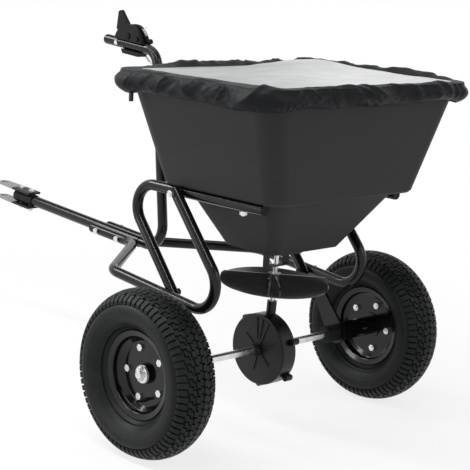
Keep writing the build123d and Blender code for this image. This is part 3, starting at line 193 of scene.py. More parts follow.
# Hitch plates: two straps of steel plate, bolted above and below the sleeve on the tow bar's end. They are
# painted black, and the hitch pin has worn the paint off the tongues in front of the sleeve.
sleeve_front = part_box("tube_plugs")[1][1]
worn_paint, place = new_finish("worn_hitch_paint", Specular_IOR_Level=0.3)
chips = place.grain(210.0, 5.0, 0.7)
bare = (place.axis("Y") + chips * 0.02).steps(sleeve_front + 0.006, sleeve_front + 0.012)
lay_on(
    worn_paint,
    Base_Color=bare.tint((0.008, 0.008, 0.0085), (0.33, 0.335, 0.34)),
    Metallic=bare * 0.9,
    Roughness=0.4 + chips * 0.12 - bare * 0.08,
    Normal=chips.bump(0.15, 0.0003),
)
dress(worn_paint, "hitch_upper_plate", "hitch_lower_plate")

# Axle, shafts, bolts, nuts, washers and pins: turned or cold-headed steel with a bright zinc plate, a little
# streaked along the axle by the die that drew it.
zinc, place = new_finish("bright_zinc", Metallic=1.0)
drawn = place.stretched(0.02, 1.0, 1.0).grain(500.0, 2.0)
stain = place.grain(85.0, 4.0, 0.6).steps(0.45, 0.8)
lay_on(
    zinc,
    Base_Color=stain.tint((0.74, 0.75, 0.77), (0.6, 0.59, 0.57)),
    Roughness=0.2 + drawn * 0.12 + stain * 0.14,
    Normal=drawn.bump(0.03, 0.0001),
)
dress(
    zinc,
    "axle",
    "axle_washers",
    "axle_cotters",
    "axle_pins",
    "left_wheel_bolts",
    "right_wheel_bolts",
    "hitch_bolts",
    "tow_bar_bolts",
    "hopper_bolts",
    "spinner_shaft",
    "spinner_pins",
    "agitator",
    "crank_arm",
    "control_rod",
    "left_hub_bearings",
    "right_hub_bearings",
)

# Frame bolts: cold-headed steel. The upper ones, which hold rails and loops together, are put in last and
# stay bright with zinc. The lower ones are sprayed black with the frame.
bolts_low, bolts_high = (Vector(corner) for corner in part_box("frame_bolts"))
bolt_level = (bolts_low.z + bolts_high.z) / 2
frame_bolt_steel, place = new_finish("frame_bolt_steel", Metallic=1.0)
bright = place.axis("Z").steps(bolt_level, bolt_level + 0.001)
stain = place.grain(300.0, 3.0)
lay_on(
    frame_bolt_steel,
    Base_Color=bright.tint((0.02, 0.02, 0.021), (0.72, 0.73, 0.75)),
    Roughness=0.3 + stain * 0.15 - bright * 0.08,
    Normal=stain.bump(0.1, 0.0002),
)
dress(frame_bolt_steel, "frame_bolts")

# Rims and hubs: pressed steel halves bolted together round a welded hub tube, in the same black as the frame
# but sprayed thicker, so that it is smoother and glossier.
rim_paint, place = new_finish("rim_paint", Specular_IOR_Level=0.24, Coat_Weight=0.2, Coat_Roughness=0.04)
peel = place.grain(300.0, 1.0)
dust = place.grain(38.0, 5.0, 0.65).steps(0.5, 0.8)
lay_on(
    rim_paint,
    Base_Color=dust.tint((0.003, 0.0033, 0.0035), (0.011, 0.0115, 0.0115)),
    Roughness=0.13 + peel * 0.05 + dust * 0.15,
    Normal=peel.bump(0.2, 0.0004),
)
dress(
    rim_paint,
    "left_outer_rim",
    "right_outer_rim",
    "left_inner_rim",
    "right_inner_rim",
    "left_hub",
    "right_hub",
)

# Valves: stems of black moulded rubber, each with a cap. They are pulled through a hole in the inner rim, and
# reach into the tyre.
valve_rubber, place = new_finish("valve_rubber", Specular_IOR_Level=0.35)
pores = place.grain(1500.0, 2.0)
lay_on(
    valve_rubber,
    Base_Color=pores.tint((0.008, 0.008, 0.008), (0.02, 0.02, 0.02)),
    Roughness=0.5 + pores * 0.2,
    Normal=pores.bump(0.3, 0.0003),
)
dress(valve_rubber, "left_valve", "right_valve")

# Turf tyres: a black rubber carcass with a round crown, a bead ridge beside the rim, and a tread of small
# Z-shaped blocks between two rows of shoulder lugs. Carcass and tread come out of one mould.
tyre_radius = 0.165
crown_arc = 0.065
crown_half = 0.034
carcass_turns = 144
under_lugs = [(0.0375, 0.1452), (0.0410, 0.1410), (0.0445, 0.1370), (0.0474, 0.1345), (0.0489, 0.1318)]
bead_foot = [(0.0235, 0.0893), (0.0205, 0.0873), (0.0188, 0.0858), (0.0175, 0.0845)]
wall_across = 0.01443
wall_radius = 0.1263
wall_arc = 0.03557
wall_sink = 0.0005
wall_rings = ((0.0010, 60, 3), (0.0005, 14, 2))
shoulder_run = 0.039
shoulder_turn = math.radians(-46.2)
tread_sectors = 36
groove = 0.0048
block_root = 0.0012
block_flare = 0.0004
block_chamfer = 0.0007
block_half = 0.0059
block_jog = 0.0026
block_slant = 0.22
arm_lap = 0.001
row_tuck = 0.0017
lug_low, lug_wide, lug_narrow = 0.0325, 0.0056, 0.0050
lug_edges = [(lug_wide, 0.0385), (0.0055, 0.0430), (lug_narrow, 0.0485)]
middle_low, middle_high, middle_shift = 0.0178, 0.0305, 0.002
centre_low, centre_high, centre_shift = 0.0011, 0.0158, 0.0015

tyre_rubber, place = new_finish("tyre_rubber", Specular_IOR_Level=0.17)
pores = place.grain(1100.0, 3.0, 0.6)
scuff = place.grain(46.0, 6.0, 0.65).steps(0.46, 0.8)
lay_on(
    tyre_rubber,
    Base_Color=(scuff * 0.7 + pores * 0.3).tint((0.0055, 0.0062, 0.0065), (0.017, 0.0185, 0.019)),
    Roughness=0.4 + scuff * 0.18 + pores * 0.08,
    Normal=(pores + scuff * 0.3).bump(0.3, 0.0004),
)


def crown_radius(across):
    """Radius of the tread's top at a distance from the tyre's middle."""
    return tyre_radius - crown_arc + math.sqrt(max(crown_arc**2 - across**2, 0))


def make_mesh(name, points, faces, sharp):
    """A smooth-shaded mesh that keeps the edges sharper than this angle."""
    mesh = bpy.data.meshes.new(name)
    mesh.from_pydata(points, [], faces)
    shell = bmesh.new()
    shell.from_mesh(mesh)
    bmesh.ops.remove_doubles(shell, verts=shell.verts, dist=1e-6)
    bmesh.ops.recalc_face_normals(shell, faces=shell.faces)
    shell.to_mesh(mesh)
    shell.free()
    mesh.shade_smooth()
    mesh.set_sharp_from_angle(angle=math.radians(sharp))
    return mesh


def new_piece(name, mesh, material, body):
    """A piece at the origin with its finish, riding on a body."""
    if material.name not in mesh.materials:
        mesh.materials.clear()
        mesh.materials.append(material)
    piece = bpy.data.objects.new(name, mesh)
    bpy.context.collection.objects.link(piece)
    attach(piece, body)
    return piece


def tyre_section():
    """Half of the carcass section, from the crown's middle down to the bead, as (across, radius)."""
    section = [(across, crown_radius(across) - groove) for across in np.linspace(0, crown_half, 8)]
    section += under_lugs
    for turn in np.linspace(-2, 69, 36):
        ring = sum(rise * math.exp(-(((turn - spot) / width) ** 2)) for rise, spot, width in wall_rings)
        bulge = wall_arc + ring - wall_sink
        lean = math.radians(turn)
        section.append((wall_across + bulge * math.cos(lean), wall_radius - bulge * math.sin(lean)))
    return section + bead_foot


def hoop_faces(columns, rows):
    """Four-sided faces between the columns of points of a closed hoop."""
    faces = []
    for column in range(columns):
        here, after = column * rows, (column + 1) % columns * rows
        for row in range(rows - 1):
            faces.append((here + row, here + row + 1, after + row + 1, after + row))
    return faces


def carcass_mesh(name, centre):
    """The tyre without its tread blocks, spun round the axle."""
    half = tyre_section()
    section = [(-across, radius) for across, radius in reversed(half[1:])] + half
    points = []
    for step in range(carcass_turns):
        angle = 2 * math.pi * step / carcass_turns
        for across, radius in section:
            points.append(centre + Vector((across, radius * math.cos(angle), radius * math.sin(angle))))
    return make_mesh(name, points, hoop_faces(carcass_turns, len(section)), 50.0)


def shoulder_across(run):
    """Distance from the tyre's middle, for a run over the crown that goes on down the sidewall."""
    over = max(abs(run) - shoulder_run, 0)
    if over == 0:
        return run
    return math.copysign(wall_across + wall_arc * math.cos(shoulder_turn + over / wall_arc), run)


def shoulder_radius(run):
    """Radius of the tread's top for the same run."""
    over = max(abs(run) - shoulder_run, 0)
    if over == 0:
        return crown_radius(run)
    return wall_radius - wall_arc * math.sin(shoulder_turn + over / wall_arc)


def block(outline, points, faces):
    """One tread block over an outline of (along, across) in metres, with its top edge chamfered."""
    middle = np.mean(outline, axis=0)
    rings = []
    for drop, inset in ((groove + block_root, -block_flare), (block_chamfer, 0.0), (0.0, block_chamfer)):
        ring = []
        for corner in outline:
            pull = corner - middle
            along, across = corner - pull / max(np.linalg.norm(pull), 1e-6) * inset
            radius = shoulder_radius(across) - drop
            angle = along / tyre_radius
            ring.append(len(points))
            points.append((shoulder_across(across), radius * math.sin(angle), radius * math.cos(angle)))
        rings.append(ring)
    count = len(outline)
    for low, high in zip(rings, rings[1:]):
        for index in range(count):
            after = (index + 1) % count
            faces.append((low[index], low[after], high[after], high[index]))
    faces.append(tuple(rings[-1]))


def zed(middle, low, high, jog):
    """Outline of a block with two arms, its outer arm shifted along the tyre by a jog each way."""
    level = (low + high) / 2
    outline = [
        (middle - block_half - jog, low),
        (middle + block_half - jog, low),
        (middle + block_half - jog, level + arm_lap),
        (middle + block_half + jog, level + arm_lap),
        (middle + block_half + jog, high),
        (middle - block_half + jog, high),
        (middle - block_half + jog, level - arm_lap),
        (middle - block_half - jog, level - arm_lap),
    ]
    return [(along + block_slant * (across - level), across) for along, across in outline]


pitch = 2 * math.pi * tyre_radius / tread_sectors
tread_points, tread_faces = [], []
for side in (-1, 1):
    for half in (-1, 1):
        spot = half * pitch / 4
        tuck = half * row_tuck
        shoulder = [(spot - lug_wide, lug_low + tuck), (spot + lug_narrow, lug_low + tuck)]
        shoulder += [(spot + reach, across) for reach, across in lug_edges]
        shoulder += [(spot - reach, across) for reach, across in reversed(lug_edges)]
        middle_row = zed(spot + middle_shift, middle_low - tuck, middle_high + tuck, block_jog)
        centre_row = zed(spot - centre_shift * side, centre_low, centre_high - tuck, -block_jog)
        for outline in (shoulder, middle_row, centre_row):
            outline = np.array([(along, across * side) for along, across in outline])
            block(outline, tread_points, tread_faces)


def ring_tree():
    """Copies of one sector, turned evenly round the wheel's axis and set down at its middle."""
    tree = bpy.data.node_groups.new("tread_ring", "GeometryNodeTree")
    tree.is_modifier = True
    inputs = {}
    for label, kind in (
        ("Sector", "NodeSocketGeometry"),
        ("Sectors", "NodeSocketInt"),
        ("Middle", "NodeSocketVector"),
        ("Rubber", "NodeSocketMaterial"),
    ):
        inputs[label] = tree.interface.new_socket(label, in_out="INPUT", socket_type=kind).identifier
    tree.interface.new_socket("Tread", in_out="OUTPUT", socket_type="NodeSocketGeometry")
    given = tree.nodes.new("NodeGroupInput")
    spots = tree.nodes.new("GeometryNodePoints")
    index = tree.nodes.new("GeometryNodeInputIndex")
    share = tree.nodes.new("ShaderNodeMath")
    share.operation = "DIVIDE"
    turn = tree.nodes.new("ShaderNodeMath")
    turn.operation = "MULTIPLY"
    turn.inputs[1].default_value = 2 * math.pi
    heading = tree.nodes.new("ShaderNodeCombineXYZ")
    rotation = tree.nodes.new("FunctionNodeEulerToRotation")
    copies = tree.nodes.new("GeometryNodeInstanceOnPoints")
    whole = tree.nodes.new("GeometryNodeRealizeInstances")
    moved = tree.nodes.new("GeometryNodeTransform")
    finish = tree.nodes.new("GeometryNodeSetMaterial")
    result = tree.nodes.new("NodeGroupOutput")
    for start, end in (
        (given.outputs["Sectors"], spots.inputs["Count"]),
        (index.outputs[0], share.inputs[0]),
        (given.outputs["Sectors"], share.inputs[1]),
        (share.outputs[0], turn.inputs[0]),
        (turn.outputs[0], heading.inputs["X"]),
        (heading.outputs[0], rotation.inputs[0]),
        (spots.outputs[0], copies.inputs["Points"]),
        (given.outputs["Sector"], copies.inputs["Instance"]),
        (rotation.outputs[0], copies.inputs["Rotation"]),
        (copies.outputs[0], whole.inputs[0]),
        (whole.outputs[0], moved.inputs["Geometry"]),
        (given.outputs["Middle"], moved.inputs["Translation"]),
        (moved.outputs[0], finish.inputs["Geometry"]),
        (given.outputs["Rubber"], finish.inputs["Material"]),
        (finish.outputs[0], result.inputs[0]),
    ):
        tree.links.new(start, end)
    return tree, inputs


def grown(name, mesh, tree, values):
    """The plain mesh that a tree of nodes makes from a mesh, with its named inputs set."""
    carrier = bpy.data.objects.new(name, mesh)
    bpy.context.collection.objects.link(carrier)
    modifier = carrier.modifiers.new("grow", "NODES")
    modifier.node_group = tree
    for identifier, value in values.items():
        modifier[identifier] = value
    ready = carrier.evaluated_get(bpy.context.evaluated_depsgraph_get())
    result = bpy.data.meshes.new_from_object(ready)
    bpy.data.objects.remove(carrier)
    result.name = name
    return result


sector_mesh = make_mesh("tread_sector", tread_points, tread_faces, 30.0)
tread_tree, tread_inputs = ring_tree()
for side, body in (("left", "axle"), ("right", "right_wheel")):
    low, high = (Vector(corner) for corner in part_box(f"{side}_tyre"))
    middle = Vector(((low.x + high.x) / 2, axle_middle.y, axle_middle.z))
    wall_mesh = carcass_mesh(f"{side}_carcass", middle)
    carcass = new_piece(f"{side}_carcass", wall_mesh, tyre_rubber, body)
    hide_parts(f"{side}_tyre")
    tread_mesh = grown(
        f"{side}_tread",
        sector_mesh,
        tread_tree,
        {
            tread_inputs["Sectors"]: tread_sectors,
            tread_inputs["Middle"]: tuple(middle),
            tread_inputs["Rubber"]: tyre_rubber,
        },
    )
    new_piece(f"{side}_tread", tread_mesh, tyre_rubber, body)

# Gear case and axle collars: glass-filled nylon mouldings. The case halves are screwed together round the
# axle. Their faces are satin, and the round wall outside is polished and darker.
case_low, case_high = (Vector(corner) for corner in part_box("left_gear_case"))
wall_start = (case_high.y - case_low.y) / 2 - 0.012
case_plastic, place = new_finish("case_plastic", Specular_IOR_Level=0.28)
fibres = place.grain(800.0, 3.0, 0.6)
flow = place.grain(34.0, 4.0, 0.55)
spread = place.add("ShaderNodeVectorMath", {"operation": "SUBTRACT"}, {0: place, 1: axle_middle})
spread = spread.add("ShaderNodeVectorMath", {"operation": "MULTIPLY"}, {0: spread, 1: (0, 1, 1)})
polish = spread.add("ShaderNodeVectorMath", {"operation": "LENGTH"}, {0: spread}, "Value")
polish = polish.steps(wall_start, wall_start + 0.003)
lay_on(
    case_plastic,
    Base_Color=(flow * 0.5 + fibres * 0.4 - polish * 0.5).tint(
        (0.0065, 0.007, 0.007), (0.018, 0.0192, 0.0188)
    ),
    Roughness=0.42 + fibres * 0.1 + flow * 0.08 - polish * 0.24,
    Normal=fibres.bump(0.2, 0.0003),
)
dress(case_plastic, "left_gear_case", "right_gear_case", "axle_collars")

# Gear case screws: self-tapping steel screws with a black oxide coat. They draw the two halves together and
# are sunk in the lugs round the case.
screw_black, place = new_finish("screw_black", Metallic=1.0)
stain = place.grain(300.0, 3.0)
lay_on(
    screw_black,
    Base_Color=stain.tint((0.015, 0.015, 0.016), (0.05, 0.05, 0.052)),
    Roughness=0.35 + stain * 0.15,
    Normal=stain.bump(0.1, 0.0002),
)
dress(screw_black, "gear_case_screws")

# Spinner: one shallow bowl with vanes, moulded in glossy nylon and pinned to the upright shaft. The grain
# that it throws leaves fine scratches.
spinner_plastic, place = new_finish("spinner_plastic", Specular_IOR_Level=0.62)
flow = place.grain(40.0, 4.0, 0.55)
scratch = place.stretched(1.0, 6.0, 1.0).grain(160.0, 4.0, 0.7)
lay_on(
    spinner_plastic,
    Base_Color=(flow * 0.5 + scratch * 0.5).tint((0.008, 0.008, 0.010), (0.018, 0.018, 0.02)),
    Roughness=0.13 + flow * 0.08 + scratch * 0.08,
    Normal=(flow + scratch * 0.3).bump(0.1, 0.0003),
)
dress(spinner_plastic, "spinner")

# Gears and shaft bush: moulded in natural nylon, which is slightly waxy and yellowed. The gears are pinned
# to the axle and the upright shaft, and the bush is pressed into the hopper's floor.
nylon, place = new_finish("gear_nylon", Subsurface_Weight=0.1, Specular_IOR_Level=0.45)
cloud = place.grain(70.0, 4.0)
lay_on(
    nylon,
    Base_Color=cloud.tint((0.62, 0.6, 0.53), (0.78, 0.77, 0.71)),
    Roughness=0.38 + cloud * 0.15,
    Normal=cloud.bump(0.15, 0.0003),
)
dress(nylon, "crown_gear", "pinion", "shaft_bush")

# Hopper: one rotationally moulded shell of black polyethylene, with a fine leathery grain from the mould and
# faint flow clouds. Its ledge sits on the rails and is bolted to them.
hopper_plastic, place = new_finish("hopper_plastic", Specular_IOR_Level=0.2)
pebble = place.add("ShaderNodeTexVoronoi", {"feature": "SMOOTH_F1"}, {"Vector": place, "Scale": 720.0})
grit = place.grain(1500.0, 2.0, 0.6)
cloud = place.grain(9.0, 5.0, 0.6)
rub = place.stretched(1.0, 1.0, 5.0).grain(55.0, 5.0, 0.7).steps(0.6, 0.85)
lay_on(
    hopper_plastic,
    Base_Color=(cloud * 0.55 + grit * 0.25 + rub * 0.4).tint(
        (0.019, 0.0193, 0.0193), (0.033, 0.0335, 0.0335)
    ),
    Roughness=0.5 + grit * 0.12 + cloud * 0.08 - rub * 0.08,
    Normal=(pebble + grit * 0.5).bump(0.35, 0.0004),
)
dress(hopper_plastic, "hopper")

# Lever unit, plugs and axle bushes: moulded housing halves, lever and stop knob on the mast's handle, plugs
# in the open tube ends, a sleeve over the tow bar's end, and the bushes pressed into the axle brackets. All
# are black polypropylene with a satin grain.
lever_plastic, place = new_finish("lever_plastic", Specular_IOR_Level=0.13)
satin = place.grain(1300.0, 2.0)
cloud = place.grain(60.0, 4.0)
lay_on(
    lever_plastic,
    Base_Color=(satin * 0.4 + cloud * 0.6).tint((0.005, 0.0052, 0.0055), (0.013, 0.0132, 0.0138)),
    Roughness=0.36 + satin * 0.12 + cloud * 0.06,
    Normal=satin.bump(0.3, 0.0003),
)
dress(
    lever_plastic,
    "left_lever_housing",
    "right_lever_housing",
    "lever",
    "stop_knob",
    "tube_plugs",
    "axle_bushes",
)

# Lever pivot and housing bolts: turned steel. The bolt through the handle is bright zinc, and the pivot and
# the bolt that closes the cheeks are blackened.
bolt_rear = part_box("lever_housing_bolts")[1][1] - 0.02
bolt_steel, place = new_finish("lever_bolt_steel", Metallic=1.0)
bright = place.axis("Y").steps(bolt_rear, bolt_rear + 0.001)
stain = place.grain(300.0, 3.0)
lay_on(
    bolt_steel,
    Base_Color=bright.tint((0.02, 0.02, 0.021), (0.72, 0.73, 0.75)),
    Roughness=0.3 + stain * 0.15 - bright * 0.08,
    Normal=stain.bump(0.1, 0.0002),
)
dress(bolt_steel, "lever_housing_bolts", "lever_shaft")

# Rate scale: a bent strip of black plastic on the housing's arch, with a grey field printed across its middle
# and plain numbers along it, black in the field and grey outside it.
strip_low, strip_high = (Vector(corner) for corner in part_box("scale_plate"))
field_margin, field_width, field_edge = 0.008, 0.014, 0.0004
field_high = strip_high.z - field_margin
field_low = field_high - field_width
number_count = 6
number_height = 0.0056
ink_height = 0.0001


def scale_field(place):
    """1 inside the printed field and 0 outside it."""
    height = place.axis("Z")
    above = height.steps(field_high, field_high + field_edge)
    return height.steps(field_low, field_low + field_edge) - above


scale_grey, place = new_finish("scale_grey", Specular_IOR_Level=0.3)
print_grain = place.grain(900.0, 3.0)
lay_on(
    scale_grey,
    Base_Color=(scale_field(place) * (0.8 + print_grain * 0.2)).tint(
        (0.012, 0.012, 0.013), (0.44, 0.445, 0.455)
    ),
    Roughness=0.35 + print_grain * 0.15,
    Normal=print_grain.bump(0.1, 0.0002),
)
dress(scale_grey, "scale_plate")

pivot_low, pivot_high = (Vector(corner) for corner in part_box("lever_shaft"))
pivot = (pivot_low + pivot_high) / 2
strip_spots = [vertex.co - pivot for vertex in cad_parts["scale_plate"].data.vertices]
strip_radius = max(math.hypot(spot.y, spot.z) for spot in strip_spots)
strip_angles = [math.atan2(spot.z, spot.y) for spot in strip_spots]
number_angles = np.linspace(min(strip_angles), max(strip_angles), 2 * number_count + 1)[1::2]
ink_shell = bmesh.new()
for index, angle in enumerate(number_angles):
    letters = bpy.data.curves.new("number", "FONT")
    letters.body = str(2 * index)
    letters.size = number_height
    letters.align_x = "CENTER"
    letters.align_y = "CENTER"
    letters.extrude = ink_height
    holder = bpy.data.objects.new("number", letters)
    bpy.context.collection.objects.link(holder)
    ready = holder.evaluated_get(bpy.context.evaluated_depsgraph_get())
    number = bpy.data.meshes.new_from_object(ready)
    bpy.data.objects.remove(holder)
    out = Vector((0, math.cos(angle), math.sin(angle)))
    rise = Vector((0, math.sin(angle), -math.cos(angle)))
    turn = Matrix((Vector((1, 0, 0)), rise, out)).transposed().to_4x4()
    middle = Vector(((strip_low.x + strip_high.x) / 2, pivot.y, pivot.z)) + out * strip_radius
    number.transform(Matrix.Translation(middle) @ turn)
    ink_shell.from_mesh(number)
ink_mesh = bpy.data.meshes.new("scale_numbers")
ink_shell.to_mesh(ink_mesh)
ink_shell.free()
ink, place = new_finish("scale_ink", Specular_IOR_Level=0.3)
blot = place.grain(2000.0, 3.0)
lay_on(
    ink,
    Base_Color=(scale_field(place) * (0.9 + blot * 0.1)).tint((0.3, 0.3, 0.31), (0.012, 0.012, 0.013)),
    Roughness=0.4 + blot * 0.2,
)
new_piece("scale_numbers", ink_mesh, ink, "frame")

# Cover film: a cloudy clear vinyl sheet sewn into the skirt's band and stretched over the open hopper. It sags
# and lifts a little in broad waves, and stands up in one hump at the far corner.
rim_low, rim_high = (Vector(corner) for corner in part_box("hopper"))
rim_lip = 0.0015
rim_corner = 0.048
rim_top = rim_high.z
rim_middle = (rim_low + rim_high) / 2
rim_half = Vector(((rim_high.x - rim_low.x) / 2 - rim_lip, (rim_high.y - rim_low.y) / 2 - rim_lip))
film_inset = 0.012
rear_seam = 0.0005
film_low = Vector((film_inset - rim_half.x, rear_seam - rim_half.y))
film_high = Vector((rim_half.x - film_inset, rim_half.y - film_inset))
film_columns, film_rows = 170, 126
film_lift = 0.001
film_rise = 0.003
seam_ease = 0.06
billow_height, ripple_height, hump_height, ridge_height = 0.006, 0.002, 0.012, 0.004


def film_height(x, y):
    """Height of the film over the rim, at a place from the rim's middle."""
    margin = min(x - film_low.x, film_high.x - x, y - film_low.y, film_high.y - y)
    inside = min(max(margin / seam_ease, 0.0), 1.0)
    billow = noise.noise(Vector((x * 6, y * 9, 4.0))) * billow_height
    billow += noise.noise(Vector((x * 17, y * 23, 9.0))) * ripple_height
    hump = hump_height * math.exp(-(((x - 0.17) / 0.11) ** 2) - ((y - 0.12) / 0.07) ** 2)
    ridge = ridge_height * math.exp(-(((y - 0.55 * x + 0.02) / 0.05) ** 2))
    return film_lift + inside * inside * (3 - 2 * inside) * (film_rise + billow + hump + ridge)


film_points, film_faces = [], []
for row in range(film_rows):
    for column in range(film_columns):
        x = film_low.x + (film_high.x - film_low.x) * column / (film_columns - 1)
        y = film_low.y + (film_high.y - film_low.y) * row / (film_rows - 1)
        side = Vector((film_high.x if x > 0 else -film_low.x, film_high.y if y > 0 else -film_low.y))
        over = Vector((abs(x), abs(y))) - side + Vector((rim_corner, rim_corner))
        if over.x > 0 and over.y > 0:
            over *= max(over) / over.length
            x = math.copysign(side.x - rim_corner + over.x, x)
            y = math.copysign(side.y - rim_corner + over.y, y)
        film_points.append((rim_middle.x + x, rim_middle.y + y, rim_top + film_height(x, y)))
for row in range(film_rows - 1):
    for column in range(film_columns - 1):
        corner = row * film_columns + column
        film_faces.append((corner, corner + 1, corner + film_columns + 1, corner + film_columns))

cover_film, place = new_finish("cover_film", Specular_IOR_Level=0.4)
cloud = place.grain(13.0, 6.0, 0.6)
haze = place.grain(160.0, 4.0, 0.6)
# Painted shading: the film's colour runs from darker at the front left to lighter at the rear right, as the
# light falls across it. The cloud and haze are the sheet's own uneven tone.
sloped = place.axis("X") - place.axis("Y") + cloud * 0.1
painted_shading = sloped.steps(-rim_middle.y - 0.08, -rim_middle.y + 0.19)
lay_on(
    cover_film,
    Base_Color=(painted_shading * 0.62 + cloud * 0.28 + haze * 0.1).tint((0.19, 0.2, 0.195), (0.58, 0.59, 0.58)),
    Roughness=0.25 + haze * 0.2,
    Normal=(cloud + haze * 0.1).bump(0.4, 0.004),
)
film_mesh = make_mesh("cover_film_top", film_points, film_faces, 60.0)
film = new_piece("cover_film_top", film_mesh, cover_film, "cover")
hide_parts("cover_top")

# Cover skirt: black woven nylon, cut as a broad band and gathered on an elastic in its hem. It rolls over the
# hopper's rim, puffs out below it, and is drawn in under the lip, with slanting folds along the sides and
# close gathers by the near corner.
cloth_columns, cloth_rows = 1200, 52
cloth_width, cloth_fullness = 0.11, 1.15
clear = 0.0008
band_share, band_corner, band_inset, rear_inset, band_lift = 0.3, 0.03, 0.021, 0.005, 0.0016
crest_rise, crest_wave, crest_ripple, far_rise, corner_sag = 0.0026, 0.006, 0.002, 0.0075, 0.004
roll_start, roll_reach, roll_turn = 0.0042, 0.018, math.pi * 1.07
hem_drop, hem_wave, rear_lift, near_drop, lock_drop = 0.041, 0.006, 0.006, 0.004, 0.004
side_lean, rear_lean, rear_reach = 0.085, 0.24, 0.24
crease_depth, swell_depth, ripple_depth, pucker_depth, fold_sink = 0.0085, 0.015, 0.006, 0.0018, 0.002
gather_count, gather_depth, gather_start = 205, 0.003, 0.62
rim_straight = Vector((rim_half.x - rim_corner, rim_half.y - rim_corner))
rim_arc = math.pi / 2 * rim_corner
rim_length = 4 * (rim_straight.x + rim_straight.y) + 4 * rim_arc
near_corner = rim_straight.y + rim_arc / 2
rear_middle = rim_straight.y + rim_arc + rim_straight.x
far_corner = rear_middle + rim_straight.x + rim_arc / 2
lock_run = rim_length - rim_straight.y - rim_arc / 4


def rim_point(run):
    """Point on the rim's outline, a run along it from the left side's middle, and its outward heading."""
    wide, deep = 2 * rim_straight.x, 2 * rim_straight.y
    spans = (rim_straight.y, wide, deep, wide, rim_straight.y)
    sides = ((-1, 0), (0, -1), (1, 0), (0, 1), (-1, 0))
    for index, span in enumerate(spans):
        out = Vector(sides[index])
        along = Vector((-out.y, out.x))
        if run <= span or index == 4:
            start = 0.0 if index == 0 else -abs(along.x) * rim_straight.x - abs(along.y) * rim_straight.y
            middle = Vector((out.x * rim_half.x, out.y * rim_half.y))
            return middle + along * (start + run), out
        run -= span
        if run <= rim_arc:
            turn = run / rim_corner
            corner = Vector(((out.x + along.x) * rim_straight.x, (out.y + along.y) * rim_straight.y))
            lean = out * math.cos(turn) + along * math.sin(turn)
            return corner + lean * rim_corner, lean
        run -= rim_arc


def wave(run, count, seed):
    """Smooth noise round the rim that closes on itself, with about this many waves, one for each seed."""
    angle = 2 * math.pi * run / rim_length
    radius = count / (2 * math.pi)
    return noise.noise(Vector((radius * math.cos(angle), radius * math.sin(angle), seed)))


def bell(run, middle, width):
    """1 at the middle of a stretch of the rim, falling away to 0 about two widths from it."""
    return math.exp(-(((run - middle) / width) ** 2))


cloth_points, cloth_places = [], []
for column in range(cloth_columns):
    run = rim_length * column / cloth_columns
    rim, out = rim_point(run)
    rear = min(max((-out.y - 0.5) / 0.5, 0.0), 1.0)
    far = min(max((0.69 * rim.x + 0.7 * rim.y + 0.2) / 0.4, 0.0), 1.0)
    near = bell(run, near_corner + 0.03, 0.06)
    lock_end = bell(run, lock_run - 0.02, 0.06)
    far_end = bell(run, far_corner, 0.05)
    tip = lock_end + far_end

    inset = band_inset + rear * (rear_inset - band_inset)
    edge = rim - out * inset * (1.1 + 0.45 * wave(run, 26, 1.3) + 0.2 * wave(run, 70, 8.8))
    inner = rim_half - Vector((inset + band_corner, inset + band_corner))
    over = Vector((abs(edge.x), abs(edge.y))) - inner
    if over.x > 0 and over.y > 0 and over.length > band_corner:
        over *= band_corner / over.length
        edge.x = math.copysign(inner.x + over.x, edge.x)
        edge.y = math.copysign(inner.y + over.y, edge.y)

    crest = crest_rise - 0.001 * rear + far_rise * far - corner_sag * tip
    crest += crest_wave * wave(run, 26, 2.2) + crest_ripple * wave(run, 70, 6.1)
    puff = roll_reach * (1 + 0.4 * wave(run, 22, 5.7) + 0.22 * lock_end + 0.15 * far_end)
    drop = hem_drop - rear_lift * rear + hem_wave * wave(run, 28, 7.7) + near_drop * near
    drop += lock_drop * bell(run, lock_run, 0.03)
    lean = side_lean - rear_lean * math.exp(-(((run - rear_middle) / rear_reach) ** 4))
    slack = max(0.1, 0.75 + 1.4 * wave(run, 9, 3.1))
    pull = 0.12 + near + 0.5 * max(0.0, wave(run, 12, 12.4))
    beat = math.sin(2 * math.pi * gather_count * run / rim_length + 5 * wave(run, 60, 9.0))

    for row in range(cloth_rows):
        share = row / (cloth_rows - 1)
        slant = run + lean * share
        bend = slant + 0.02 * wave(run, 50, 4.0)
        crease = (1 - min(abs(wave(bend, 42, 33.0)) * 3.2, 1)) ** 1.4 * crease_depth * slack
        swell = wave(slant, 30, 21.0) * swell_depth + wave(run - 0.05 * share, 85, 17.0) * ripple_depth
        swell += wave(run + 0.14 * share, 150, 27.0) * pucker_depth
        calm = (1 - 0.65 * tip) * math.sin(math.pi * min(share * 1.05, 1)) ** 0.7
        fold = (crease + swell - fold_sink) * calm
        hem = max(0.0, (share - gather_start) / (1 - gather_start)) ** 1.3
        gather = beat * gather_depth * hem * pull
        if share < band_share:
            step = share / band_share
            flat = edge.lerp(rim, step)
            height = band_lift + (crest - band_lift) * math.sin(step * math.pi / 2) + 0.3 * fold * step
            height = max(height, film_height(flat.x, flat.y) + clear)
        else:
            angle = math.pi / 2 - (share - band_share) / (1 - band_share) * roll_turn
            bow = math.copysign(abs(math.cos(angle)) ** (1 + 0.7 * tip), math.cos(angle))
            reach = roll_start + (puff + fold + gather) * bow + gather * 0.5 * hem
            height = (crest - drop) / 2 + ((crest + drop) / 2 + fold * 0.35) * math.sin(angle)
            if angle > math.pi / 4:
                height = max(height, clear)
            else:
                reach = max(reach, rim_lip + clear)
            flat = rim + out * reach
        cloth_points.append((rim_middle.x + flat.x, rim_middle.y + flat.y, rim_top + height))
        cloth_places.append((run, share * cloth_width))

